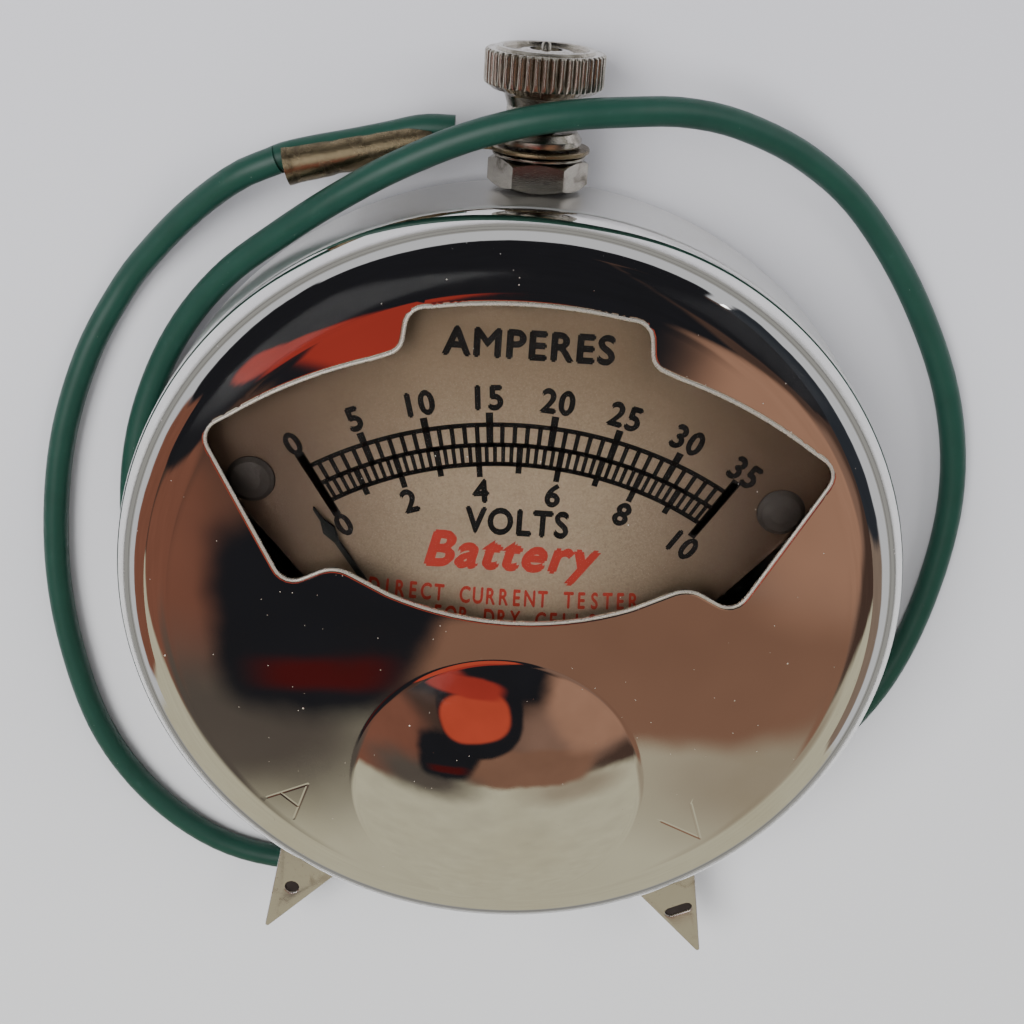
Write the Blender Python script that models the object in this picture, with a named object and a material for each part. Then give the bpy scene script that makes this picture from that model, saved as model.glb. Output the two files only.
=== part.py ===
"""Pocket volt-ammeter: a round chromed drum with a fan window, a binding post and two contact prongs.

Frame: metres, +Z out of the dial, +Y towards the binding post, +X to the right of the dial.
The origin is the centre of the flat back, so the meter lies on its back on the plane z = 0.
"""
from math import acos, atan2, cos, pi, radians, sin, sqrt

import bmesh
import bpy
from mathutils import Matrix, Vector

MM = 0.001

# ---------------------------------------------------------------- driving dimensions (millimetres)
CASE_RADIUS = 28.575           # a 2 1/4 inch case
SHEET = 0.7                    # drawn brass sheet of the cover
CUP_WALL = 0.8
BACK_RADIUS = 3.0              # rounded edge of the back
SEAM_Z = 11.1                  # where the cover meets the cup
SHOULDER_RADIUS = 4.5          # rounded edge of the cover
SHOULDER_Z = 11.0
FACE_EDGE_Z = SHOULDER_Z + SHOULDER_RADIUS
FACE_CROWN = 0.45
LIP_OUTER, LIP_WALL, LIP_TOP = 27.35, 0.6, 12.5

PIVOT_Y = -13.63               # the pointer's axis, under the round boss
BOSS_RADIUS, BOSS_RISE = 10.7, 1.6

DIAL_TOP, DIAL_SHEET, DIAL_RADIUS = 13.35, 0.5, 25.0
CRYSTAL_Z, CRYSTAL_SHEET, CRYSTAL_RADIUS, CRYSTAL_EDGE_Y = 13.95, 0.4, 25.7, -0.9
SPACER_INNER, SPACER_OUTER = 25.2, 26.3
POINTER_Z, POINTER_SHEET, POINTER_REST = 13.6, 0.2, 33.9
STAFF_TOP = 14.15
DIAL_SCREW_XY = (18.4, 9.05)

POST_Z = 4.9                   # the binding post and the prongs stand at half the wall's height
STUD_RADIUS, STUD_TIP_Y = 1.05, 38.35
STACK_GAP, BORE_GAP = 0.15, 0.2
NUT_FLATS, NUT_HEIGHT, WASHER_SHEET = 6.0, 1.9, 0.2
LUG_RING_RADIUS, LUG_SHEET, LUG_BARREL_RADIUS = 3.45, 0.3, 1.42
COLLAR_RADIUS, COLLAR_HEIGHT = 2.85, 0.95
HEAD_RADIUS, HEAD_BOTTOM_Y, HEAD_TOP_Y = 4.05, 35.45, 37.85
WAIST_RADIUS = 2.4

PRONG_ANGLE, PRONG_TIP, PRONG_SHOULDER = 26.9, 42.15, 33.3
PRONG_HALF_WIDTH, PRONG_SHEET = 2.9, 0.8

WIRE_RADIUS = 0.975
FLOOR_WIRE_Z = WIRE_RADIUS + 0.02

COIL_Z, PIVOT_FREE = 7.0, 0.2
BASE_BOTTOM, BASE_SHEET, BASE_RADIUS = 1.1, 1.0, 23.0
BASE_TOP = BASE_BOTTOM + BASE_SHEET
BRIDGE_PILLAR_X = 10.4

# The lead's route, end to end: lug, round the left side, under the prongs, up the right side,
# over the waist of the post and the lug, and down the left side close to the wall.
LEAD_ROUTE = [
    (-17.75, 29.3, 5.0), (-20.5, 27.95, 4.6), (-23.8, 25.3, 3.2), (-27.0, 22.0, 1.9), (-29.9, 18.3, FLOOR_WIRE_Z),
    (-33.0, 12.6, FLOOR_WIRE_Z), (-35.4, 5.0, FLOOR_WIRE_Z), (-36.4, -4.0, FLOOR_WIRE_Z),
    (-35.8, -12.5, FLOOR_WIRE_Z), (-33.6, -20.9, FLOOR_WIRE_Z), (-29.6, -27.3, FLOOR_WIRE_Z),
    (-24.2, -31.7, FLOOR_WIRE_Z), (-18.4, -33.4, FLOOR_WIRE_Z), (-11.5, -33.2, FLOOR_WIRE_Z),
    (-3.0, -32.4, FLOOR_WIRE_Z), (6.0, -31.8, FLOOR_WIRE_Z), (15.0, -28.9, FLOOR_WIRE_Z),
    (22.5, -23.6, FLOOR_WIRE_Z), (28.2, -17.6, FLOOR_WIRE_Z), (31.9, -11.2, FLOOR_WIRE_Z),
    (33.9, -3.2, FLOOR_WIRE_Z), (34.3, 5.6, FLOOR_WIRE_Z), (32.5, 13.6, FLOOR_WIRE_Z), (28.6, 21.2, FLOOR_WIRE_Z),
    (23.6, 27.6, 1.5), (18.8, 31.3, 2.9), (13.8, 33.6, 5.2), (9.6, 34.6, 7.3), (5.4, 34.65, 9.0), (0.6, 34.1, 9.6),
    (-4.4, 32.6, 9.4), (-9.3, 30.2, 8.7), (-13.6, 27.4, 7.5), (-17.7, 24.2, 5.7), (-21.6, 20.8, 3.9),
    (-25.0, 16.6, 2.3), (-27.6, 11.8, 1.3), (-29.4, 6.3, FLOOR_WIRE_Z), (-30.1, 0.2, FLOOR_WIRE_Z),
    (-29.6, -5.6, FLOOR_WIRE_Z), (-27.9, -11.3, FLOOR_WIRE_Z), (-25.1, -16.6, FLOOR_WIRE_Z),
]
LEAD_TIP_LENGTH = 8.0

# Each winding's end wire runs down to the inner end of its prong; given for the right side.
COIL_LEAD_ROUTE = [(5.5, -20.9, 9.0), (8.0, -21.3, 8.5), (9.8, -21.2, 7.3), (10.5, -20.9, 5.8)]
COIL_WIRE_RADIUS = 0.35

# Turns an outline so that it is drawn in world Y and Z and extruded along world X.
SIDE_ON = Matrix(((0, 0, 1, 0), (1, 0, 0, 0), (0, 1, 0, 0), (0, 0, 0, 1)))


# ---------------------------------------------------------------- materials
def material(name, colour, metallic, roughness):
    mat = bpy.data.materials.new(name)
    mat.use_nodes = True
    shader = mat.node_tree.nodes["Principled BSDF"]
    shader.inputs["Base Color"].default_value = (*colour, 1.0)
    shader.inputs["Metallic"].default_value = metallic
    shader.inputs["Roughness"].default_value = roughness
    return mat


def make_materials():
    return {
        "chrome": material("chrome", (0.86, 0.86, 0.85), 1.0, 0.06),
        "nickel": material("nickel", (0.62, 0.60, 0.54), 1.0, 0.30),
        "brass": material("brass", (0.42, 0.31, 0.14), 1.0, 0.45),
        "steel": material("steel", (0.45, 0.45, 0.44), 1.0, 0.35),
        "magnet": material("magnet", (0.10, 0.10, 0.11), 0.8, 0.55),
        "copper": material("copper", (0.55, 0.22, 0.10), 1.0, 0.35),
        "dial": material("dial", (0.52, 0.46, 0.37), 0.6, 0.40),
        "black": material("black", (0.01, 0.01, 0.01), 0.0, 0.50),
        "glass": material("glass", (0.95, 0.96, 0.95), 0.0, 0.03),
        "fibre": material("fibre", (0.16, 0.06, 0.04), 0.0, 0.70),
        "insulation": material("insulation", (0.01, 0.13, 0.08), 0.0, 0.45),
    }


# ---------------------------------------------------------------- mesh helpers (millimetres in, metres out)
def finish(name, bm, mat, smooth_angle=35.0, place=None):
    bmesh.ops.recalc_face_normals(bm, faces=bm.faces)
    mesh = bpy.data.meshes.new(name)
    bm.to_mesh(mesh)
    bm.free()
    mesh.shade_smooth()
    mesh.set_sharp_from_angle(angle=radians(smooth_angle))
    mesh.materials.append(mat)
    obj = bpy.data.objects.new(name, mesh)
    bpy.context.collection.objects.link(obj)
    if place is not None:
        obj.matrix_world = place
    return obj


def at(x=0.0, y=0.0, z=0.0, turn=0.0):
    """Place with a turn about +Z in degrees."""
    return Matrix.Translation(Vector((x, y, z)) * MM) @ Matrix.Rotation(radians(turn), 4, "Z")


def along_y(x, y, z):
    """Local +Z becomes world +Y."""
    return Matrix.Translation(Vector((x, y, z)) * MM) @ Matrix.Rotation(radians(-90), 4, "X")


def turned(name, profile, mat, place=None, segments=32):
    """Revolve a closed (radius, height) outline about local Z; points on the axis become one vertex."""
    bm = bmesh.new()
    rings = []
    for radius, height in profile:
        if radius < 1e-6:
            rings.append([bm.verts.new((0, 0, height * MM))] * segments)
            continue
        rings.append([bm.verts.new((radius * cos(2 * pi * k / segments) * MM,
                                    radius * sin(2 * pi * k / segments) * MM, height * MM))
                      for k in range(segments)])
    for a, b in zip(rings, rings[1:] + rings[:1]):
        for k in range(segments):
            n = (k + 1) % segments
            corners = []
            for vert in (a[k], a[n], b[n], b[k]):
                if vert not in corners:
                    corners.append(vert)
            if len(corners) > 2:
                bm.faces.new(corners)
    return finish(name, bm, mat, place=place)


def plate(name, outline, bottom, top, mat, place=None, holes=()):
    """Extrude a flat outline with holes from one height to another."""
    bm = bmesh.new()
    edges = []
    for loop in (outline, *holes):
        verts = [bm.verts.new((x * MM, y * MM, bottom * MM)) for x, y in loop]
        edges += [bm.edges.new((verts[k - 1], verts[k])) for k in range(len(verts))]
    faces = bmesh.ops.triangle_fill(bm, edges=edges, use_beauty=True, use_dissolve=False)["geom"]
    region = [f for f in faces if isinstance(f, bmesh.types.BMFace)]
    grown = bmesh.ops.extrude_face_region(bm, geom=region)["geom"]
    moved = [v for v in grown if isinstance(v, bmesh.types.BMVert)]
    bmesh.ops.translate(bm, verts=moved, vec=(0, 0, (top - bottom) * MM))
    return finish(name, bm, mat, place=place)


def tube(name, points, radius, mat):
    """A round wire through points given in millimetres, with filled ends."""
    curve = bpy.data.curves.new(name, "CURVE")
    curve.dimensions = "3D"
    curve.bevel_depth = radius * MM
    curve.bevel_resolution = 2
    curve.resolution_u = 1
    curve.render_resolution_u = 0
    curve.use_fill_caps = True
    spline = curve.splines.new("POLY")
    spline.points.add(len(points) - 1)
    for point, place in zip(spline.points, points):
        point.co = (*(Vector(place) * MM), 1.0)
    curve.materials.append(mat)
    obj = bpy.data.objects.new(name, curve)
    bpy.context.collection.objects.link(obj)
    return obj


def cut(obj, cutter, operation="DIFFERENCE"):
    cutter.hide_render = True
    cutter.display_type = "WIRE"
    boolean = obj.modifiers.new(cutter.name, "BOOLEAN")
    boolean.operation = operation
    boolean.object = cutter
    boolean.solver = "EXACT"


def circle(radius, x=0.0, y=0.0, count=24):
    return [(x + radius * cos(2 * pi * k / count), y + radius * sin(2 * pi * k / count)) for k in range(count)]


def arc(x, y, radius, start, end, count):
    """Points on an arc, angles in degrees from +X."""
    steps = [radians(start + (end - start) * k / (count - 1)) for k in range(count)]
    return [(x + radius * cos(a), y + radius * sin(a)) for a in steps]


def rectangle(half_x, half_y, x=0.0, y=0.0):
    return [(x - half_x, y - half_y), (x + half_x, y - half_y), (x + half_x, y + half_y), (x - half_x, y + half_y)]


def hexagon(flats, turn=30.0):
    corner = flats / sqrt(3)
    return [(corner * cos(radians(60 * k + turn)), corner * sin(radians(60 * k + turn))) for k in range(6)]


def mirrored(half):
    """Close an outline from its right half, which runs from the top centre to the bottom centre."""
    return half + [(-x, y) for x, y in reversed(half) if x > 1e-9]


def filleted(corners, steps=5):
    """Round the corners (x, y, radius) of a closed outline; a radius of 0 keeps the point."""
    points = []
    for k, (x, y, radius) in enumerate(corners):
        if radius == 0:
            points.append((x, y))
            continue
        here = Vector((x, y))
        before = (Vector(corners[k - 1][:2]) - here).normalized()
        after = (Vector(corners[(k + 1) % len(corners)][:2]) - here).normalized()
        half = acos(max(-1.0, min(1.0, before.dot(after)))) / 2
        centre = here + (before + after).normalized() * (radius / sin(half))
        start = here + before * (radius / (sin(half) / cos(half))) - centre
        end = here + after * (radius / (sin(half) / cos(half))) - centre
        first = atan2(start.y, start.x)
        sweep = (atan2(end.y, end.x) - first + pi) % (2 * pi) - pi
        points += [(centre.x + radius * cos(first + sweep * s / steps),
                    centre.y + radius * sin(first + sweep * s / steps)) for s in range(steps + 1)]
    return points


def smooth_route(route, spacing):
    """Even points on a Catmull-Rom curve through the route."""
    knots = [Vector(p) for p in route]
    knots = [knots[0] * 2 - knots[1]] + knots + [knots[-1] * 2 - knots[-2]]
    fine = []
    for a, b, c, d in zip(knots, knots[1:], knots[2:], knots[3:]):
        for s in range(20):
            t = s / 20
            fine.append(0.5 * (2 * b + (c - a) * t + (2 * a - 5 * b + 4 * c - d) * t ** 2
                               + (3 * b - a - 3 * c + d) * t ** 3))
    fine.append(knots[-2])
    length = sum((q - p).length for p, q in zip(fine, fine[1:]))
    count = round(length / spacing)
    even, walked, target = [fine[0]], 0.0, length / count
    for p, q in zip(fine, fine[1:]):
        step = (q - p).length
        while walked + step >= target * len(even) and len(even) < count:
            even.append(p.lerp(q, (target * len(even) - walked) / step))
        walked += step
    return even + [fine[-1]]


# ---------------------------------------------------------------- case
def window_outline():
    """The fan window: its upper edge is concentric with the pointer, with a raised bay in the middle."""
    fan, bay, lower = 34.15, 36.93, 22.7
    half = [(0.0, PIVOT_Y + bay, 0)]
    half += [(bay * sin(radians(a)), PIVOT_Y + bay * cos(radians(a)), 0) for a in (4, 8)]
    half += [(7.8, PIVOT_Y + bay - 0.65, 1.3), (8.15, 19.75, 1.3)]
    half += [(fan * sin(radians(a)), PIVOT_Y + fan * cos(radians(a)), 0) for a in (18.0, 22, 26, 30, 34)]
    half += [(21.45, 13.2, 1.4), (15.75, 2.1, 1.3), (12.3, 3.95, 2.2)]
    half += [(lower * sin(radians(a)), 0.35 + lower - lower * cos(radians(a)), 0) for a in (21, 14, 7, 0)]
    whole = half + [(-x, y, r) for x, y, r in reversed(half) if x > 1e-9]
    return filleted(whole)


def face_profile(inset):
    """Cover outline from the crown outwards to the rim, moved in by a thickness."""
    edge = CASE_RADIUS - SHOULDER_RADIUS
    crown = [(edge * k / 4, FACE_EDGE_Z - inset + FACE_CROWN * (1 - (k / 4) ** 2)) for k in range(5)]
    shoulder = arc(edge, SHOULDER_Z, SHOULDER_RADIUS - inset, 90, 5, 7)[1:]
    return crown + shoulder


def boss_profile(inset):
    """A shallow spherical cap on a short skirt that ends inside the cover's thickness."""
    rise = BOSS_RISE + FACE_CROWN * 0.7
    base = FACE_EDGE_Z - inset
    radius = BOSS_RADIUS - inset
    cap = [(radius * k / 5, base + rise * (1 - (k / 5) ** 2)) for k in range(6)]
    return cap + [(radius, base - 1.0), (0.0, base - 1.0)]


def make_front_cover(mats):
    cover = turned("front_cover", face_profile(0.0) + [(CASE_RADIUS, SEAM_Z + 0.15), (0.0, SEAM_Z + 0.15)],
                   mats["chrome"], segments=72)
    pivot = at(y=PIVOT_Y)
    cut(cover, turned("cut_boss_outside", boss_profile(0.0), mats["chrome"], pivot, 48), "UNION")
    cut(cover, turned("cut_cover_inside", face_profile(SHEET) + [(CASE_RADIUS - SHEET, SEAM_Z - 2), (0.0, SEAM_Z - 2)],
                      mats["chrome"], segments=72))
    cut(cover, turned("cut_boss_inside", boss_profile(SHEET), mats["chrome"], pivot, 48))
    cut(cover, plate("cut_window", window_outline(), 13.0, 18.0, mats["chrome"]))
    return cover


def prong_frame(side):
    """Local +X runs out along the prong; side is -1 for A on the left and +1 for V on the right."""
    return at(z=POST_Z, turn=-90 + side * PRONG_ANGLE)


def make_rear_cup(mats):
    inner = CASE_RADIUS - CUP_WALL
    corner = arc(CASE_RADIUS - BACK_RADIUS, BACK_RADIUS, BACK_RADIUS, -90, 0, 6)
    inner_corner = arc(CASE_RADIUS - BACK_RADIUS, BACK_RADIUS, BACK_RADIUS - CUP_WALL, 0, -90, 5)
    profile = [(0.0, 0.0)] + corner + [
        (CASE_RADIUS, SEAM_Z - 0.15), (LIP_OUTER, SEAM_Z - 0.15), (LIP_OUTER, LIP_TOP),
        (LIP_OUTER - LIP_WALL, LIP_TOP), (LIP_OUTER - LIP_WALL, SEAM_Z - 1.2), (inner, SEAM_Z - 1.9)]
    profile += inner_corner + [(0.0, CUP_WALL)]
    cup = turned("rear_cup", profile, mats["chrome"], segments=72)
    for side, label in ((-1, "a"), (1, "v")):
        slot = plate("cut_prong_slot_" + label, rectangle(3.0, 4.9, 28.5), -1.8, 1.8, mats["chrome"],
                     prong_frame(side))
        cut(cup, slot)
    hole = [(0.0, -3.0), (STUD_RADIUS + BORE_GAP, -3.0), (STUD_RADIUS + BORE_GAP, 3.0), (0.0, 3.0)]
    cut(cup, turned("cut_stud_hole", hole, mats["chrome"], along_y(0, CASE_RADIUS, POST_Z), 24))
    return cup


def make_window(mats):
    """The crystal and the fibre ring that carries its edge."""
    start = 180 / pi * atan2(CRYSTAL_EDGE_Y, sqrt(CRYSTAL_RADIUS ** 2 - CRYSTAL_EDGE_Y ** 2))
    outline = arc(0, 0, CRYSTAL_RADIUS, start, 180 - start, 40)
    plate("crystal", outline, CRYSTAL_Z, CRYSTAL_Z + CRYSTAL_SHEET, mats["glass"])
    bottom, top = DIAL_TOP - 1.0, CRYSTAL_Z - STACK_GAP
    ring = [(SPACER_INNER, bottom), (SPACER_OUTER, bottom), (SPACER_OUTER, top), (SPACER_INNER, top)]
    turned("crystal_spacer", ring, mats["fibre"], segments=64)


# ---------------------------------------------------------------- dial
def dial_outline():
    """A disc with its lower part cut off and both lower corners cut back."""
    cut_angle, cut_at, bottom = radians(50), Vector((16.4, 3.7)), -1.9
    along = Vector((cos(cut_angle), sin(cut_angle)))
    reach = -cut_at.dot(along) + sqrt(cut_at.dot(along) ** 2 + DIAL_RADIUS ** 2 - cut_at.length_squared)
    upper = cut_at + along * reach
    lower = cut_at + along * ((bottom - cut_at.y) / along.y)
    start = 180 / pi * atan2(upper.y, upper.x)
    return arc(0, 0, DIAL_RADIUS, start, 180 - start, 36) + [(-lower.x, bottom), (lower.x, bottom)]


def stop_places():
    """Two pins on the dial, each clear of the pointer's edge at the end of its swing."""
    reach, clearance = 16.0, 3.1
    for name, angle in (("stop_pin_zero", -POINTER_REST - clearance), ("stop_pin_full", 66 - POINTER_REST + clearance)):
        yield name, (reach * sin(radians(angle)), PIVOT_Y + reach * cos(radians(angle)))


def make_dial(mats):
    screw_x, screw_y = DIAL_SCREW_XY
    holes = [circle(1.0, side * screw_x, screw_y, 16) for side in (-1, 1)]
    holes += [circle(0.5, x, y, 8) for _, (x, y) in stop_places()]
    plate("dial_plate", dial_outline(), DIAL_TOP - DIAL_SHEET, DIAL_TOP, mats["dial"], holes=holes)
    head = [(0.0, 9.0), (0.75, 9.0), (0.75, DIAL_TOP + 0.1), (1.7, DIAL_TOP + 0.1), (1.7, DIAL_TOP + 0.2),
            (1.2, DIAL_TOP + 0.42), (0.6, DIAL_TOP + 0.52), (0.0, DIAL_TOP + 0.55)]
    pillar = [(0.95, BASE_TOP + STACK_GAP), (1.5, BASE_TOP + STACK_GAP), (1.5, DIAL_TOP - DIAL_SHEET - STACK_GAP),
              (0.95, DIAL_TOP - DIAL_SHEET - STACK_GAP)]
    for side, label in ((-1, "left"), (1, "right")):
        turned("dial_screw_" + label, head, mats["black"], at(side * screw_x, screw_y), 24)
        turned("dial_pillar_" + label, pillar, mats["brass"], at(side * screw_x, screw_y), 20)
    pin = [(0.0, 12.5), (0.35, 12.5), (0.35, CRYSTAL_Z - STACK_GAP), (0.0, CRYSTAL_Z - STACK_GAP)]
    for name, (x, y) in stop_places():
        turned(name, pin, mats["brass"], at(x, y), 10)


# ---------------------------------------------------------------- moving system
def make_pointer_system(mats):
    """Everything on the staff; each piece has its origin on the pointer's axis."""
    rest = at(y=PIVOT_Y, turn=POINTER_REST)
    staff = [(0.0, 4.0), (0.25, 4.0), (0.55, 4.6), (0.55, STAFF_TOP - 0.5), (0.25, STAFF_TOP), (0.0, STAFF_TOP)]
    turned("staff", staff, mats["steel"], rest, 16)
    half = [(0.0, 25.2), (0.08, 25.1), (0.13, 24.1), (0.48, 23.2), (0.18, 22.2), (0.22, 2.1)]
    half += [(1.2, 1.2), (1.6, 0.0), (1.2, -1.2), (0.4, -2.4), (0.4, -3.0), (1.0, -3.8), (1.0, -5.0), (0.0, -5.0)]
    plate("pointer", mirrored(half), POINTER_Z, POINTER_Z + POINTER_SHEET, mats["black"], rest,
          holes=[circle(0.55 + PIVOT_FREE, count=12)])
    hub_top = POINTER_Z - STACK_GAP
    hub = [(0.75, hub_top - 0.9), (1.5, hub_top - 0.9), (1.5, hub_top), (0.75, hub_top)]
    turned("pointer_hub", hub, mats["brass"], rest, 20)
    weight = [(0.0, hub_top - 1.2), (0.9, hub_top - 1.2), (0.9, hub_top), (0.0, hub_top)]
    balance = turned("balance_weight", weight, mats["brass"], rest, 14)
    balance.data.transform(Matrix.Translation((0, -4.3 * MM, 0)))
    vane = [(0.25, 4.3), (0.25, 1.3), (1.25, 0.5), (1.25, -0.5), (0.25, -1.3), (0.25, -4.3)]
    outline = vane + [(-x, y) for x, y in reversed(vane)]
    plate("iron_vane", outline, COIL_Z - 1.7, COIL_Z + 1.7, mats["steel"], rest, holes=[circle(0.75, count=12)])


# ---------------------------------------------------------------- movement frame
def make_base(mats):
    screws = [(-9.0, 16.0), (9.0, 16.0), (-17.0, -12.0), (17.0, -12.0)]
    clamps = [(-6.0, 7.4), (6.0, 7.4)]
    holes = [circle(1.0, x, y, 12) for x, y in screws] + [circle(0.95, x, y, 12) for x, y in clamps]
    holes.append(circle(STUD_RADIUS + BORE_GAP, 0, PIVOT_Y, 16))
    plate("base_plate", circle(BASE_RADIUS, count=48), BASE_BOTTOM, BASE_TOP, mats["steel"], holes=holes)
    seat = BASE_TOP + STACK_GAP
    head = [(0.0, BASE_BOTTOM - 0.1), (0.8, BASE_BOTTOM - 0.1), (0.8, seat), (1.7, seat), (1.6, seat + 0.5),
            (0.0, seat + 0.65)]
    for number, (x, y) in enumerate(screws, 1):
        turned("base_screw_%d" % number, head, mats["steel"], at(x, y), 16)
    return clamps


def make_magnet(mats, clamps):
    """A horseshoe magnet with its legs beside the coils, held by a clamp plate on two screws."""
    half = [(0.0, 6.0), (12.2, 6.0), (16.2, 2.0), (16.2, -16.0), (12.2, -16.0), (12.2, 0.6), (10.8, 2.0), (0.0, 2.0)]
    bottom, top = COIL_Z - 2.0, COIL_Z + 2.0
    plate("magnet", mirrored(half), bottom, top, mats["magnet"])
    plate("magnet_clamp", rectangle(8.5, 3.4, 0, 5.6), top + STACK_GAP, top + 0.75, mats["brass"],
          holes=[circle(0.95, x, y, 12) for x, y in clamps])
    seat = BASE_TOP + STACK_GAP
    screw = [(0.0, 1.3), (0.7, 1.3), (0.7, top + 0.9), (1.6, top + 0.9), (1.5, top + 1.4), (0.0, top + 1.55)]
    sleeve = [(0.95, seat), (1.35, seat), (1.35, top), (0.95, top)]
    for side, (x, y) in zip(("left", "right"), clamps):
        turned("magnet_screw_" + side, screw, mats["steel"], at(x, y), 14)
        turned("magnet_sleeve_" + side, sleeve, mats["brass"], at(x, y), 14)
        plate("magnet_block_" + side, rectangle(2.6, 1.7, x, 3.9), seat, bottom - STACK_GAP, mats["fibre"])


def make_coils(mats):
    """A square bobbin across the case, with the staff between its two windings."""
    inner_y, inner_z, wall, flange = 4.6, 2.0, 0.5, 1.9
    core_y, core_z = inner_y + wall, inner_z + wall
    stations = [(-8.5, flange), (-8.0, flange), (-8.0, 0), (-2.4, 0), (-2.4, flange), (-1.8, flange), (-1.8, 0),
                (1.8, 0), (1.8, flange), (2.4, flange), (2.4, 0), (8.0, 0), (8.0, flange), (8.5, flange)]
    bm = bmesh.new()

    def ring(x, half_y, half_z):
        corners = ((-half_y, -half_z), (half_y, -half_z), (half_y, half_z), (-half_y, half_z))
        return [bm.verts.new((x * MM, (PIVOT_Y + y) * MM, (COIL_Z + z) * MM)) for y, z in corners]

    outer = [ring(x, core_y + extra, core_z + extra) for x, extra in stations]
    ends = [ring(x, inner_y, inner_z) for x in (8.5, -8.5)]
    loops = outer + ends
    for a, b in zip(loops, loops[1:] + loops[:1]):
        for k in range(4):
            bm.faces.new((a[k], a[(k + 1) % 4], b[(k + 1) % 4], b[k]))
    bobbin = finish("coil_bobbin", bm, mats["fibre"])
    drill = [(0.0, 2.5), (1.2, 2.5), (1.2, 11.5), (0.0, 11.5)]
    cut(bobbin, turned("cut_staff_hole", drill, mats["fibre"], at(y=PIVOT_Y), 16))
    sideways = Matrix.Translation(Vector((0, PIVOT_Y, COIL_Z)) * MM) @ SIDE_ON
    hole = [rectangle(core_y + 0.2, core_z + 0.2)]
    outline = filleted([(x, y, 1.2) for x, y in rectangle(core_y + 1.7, core_z + 1.7)], 3)
    plate("amps_winding", outline, -7.8, -2.6, mats["copper"], sideways, hole)
    plate("volts_winding", outline, 2.6, 7.8, mats["copper"], sideways, hole)


def make_bearings(mats):
    """A hat-shaped bridge on two pillars, and the screws whose cups carry the staff's ends."""
    hat = [(4.4, 14.65), (5.8, 13.4), (11.9, 13.4), (11.9, 12.9), (5.5, 12.9), (4.1, 14.15)]
    flat = Matrix.Translation((0, PIVOT_Y * MM, 0)) @ Matrix.Rotation(radians(90), 4, "X")
    bridge = plate("bridge", mirrored(hat), -1.8, 1.8, mats["brass"], flat)
    for name, x, radius in (("pivot", 0.0, 1.25), ("left", -BRIDGE_PILLAR_X, 0.85), ("right", BRIDGE_PILLAR_X, 0.85)):
        drill = [(0.0, 12.0), (radius, 12.0), (radius, 16.0), (0.0, 16.0)]
        cut(bridge, turned("cut_bridge_" + name, drill, mats["brass"], at(x, PIVOT_Y), 16))
    seat = BASE_TOP + STACK_GAP
    pillar = [(0.8, seat), (1.25, seat), (1.25, 12.75), (0.8, 12.75)]
    screw = [(0.0, 9.0), (0.6, 9.0), (0.6, 13.55), (1.5, 13.55), (1.4, 13.95), (0.0, 14.05)]
    for side, label in ((-1, "left"), (1, "right")):
        turned("bridge_pillar_" + label, pillar, mats["brass"], at(side * BRIDGE_PILLAR_X, PIVOT_Y), 16)
        turned("bridge_screw_" + label, screw, mats["steel"], at(side * BRIDGE_PILLAR_X, PIVOT_Y), 16)
    lower = [(0.0, BASE_BOTTOM - 0.1), (STUD_RADIUS, BASE_BOTTOM - 0.1), (STUD_RADIUS, 3.8), (0.0, 3.8)]
    upper = [(0.0, 14.35), (STUD_RADIUS, 14.35), (STUD_RADIUS, 15.9), (0.0, 15.9)]
    turned("lower_bearing_screw", lower, mats["brass"], at(y=PIVOT_Y), 16)
    turned("upper_bearing_screw", upper, mats["brass"], at(y=PIVOT_Y), 16)
    plate("bearing_lock_nut", hexagon(3.8), 14.8, 15.35, mats["brass"], at(y=PIVOT_Y),
          holes=[circle(STUD_RADIUS + BORE_GAP, count=16)])


# ---------------------------------------------------------------- terminals
def make_prongs(mats):
    half = [(22.9, 2.0), (30.0, 2.0), (30.0, PRONG_HALF_WIDTH), (PRONG_SHOULDER, PRONG_HALF_WIDTH), (PRONG_TIP, 0.15)]
    outline = half + [(x, -y) for x, y in reversed(half)]
    holes = {"a": circle(0.6, 37.2, 0, 12), "v": arc(37.2, -0.8, 0.42, -180, 0, 5) + arc(37.2, 0.8, 0.42, 0, 180, 5)}
    for side, label in ((-1, "a"), (1, "v")):
        frame = prong_frame(side)
        plate("prong_" + label, outline, -PRONG_SHEET / 2, PRONG_SHEET / 2, mats["nickel"], frame,
              holes=[holes[label]])
        across = frame @ SIDE_ON
        plate("prong_insulator_" + label, rectangle(4.6, 1.5), 24.9, 29.3, mats["fibre"], across,
              holes=[rectangle(2.2, 0.65)])
        tube("coil_lead_" + label, [(side * x, y, z) for x, y, z in COIL_LEAD_ROUTE], COIL_WIRE_RADIUS,
             mats["copper"])


def make_common_strap(mats):
    """An angle strap from the binding post to the coils."""
    side_view = [(24.8, POST_Z + 2.2), (24.4, POST_Z + 2.2), (24.4, 3.0), (-6.0, 3.0), (-6.0, 2.6), (24.8, 2.6)]
    strap = plate("common_strap", side_view, -1.9, 1.9, mats["copper"], SIDE_ON)
    hole = [(0.0, 22.0), (STUD_RADIUS + BORE_GAP, 22.0), (STUD_RADIUS + BORE_GAP, 26.0), (0.0, 26.0)]
    cut(strap, turned("cut_strap_hole", hole, mats["copper"], along_y(0, 0, POST_Z), 16))


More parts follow.
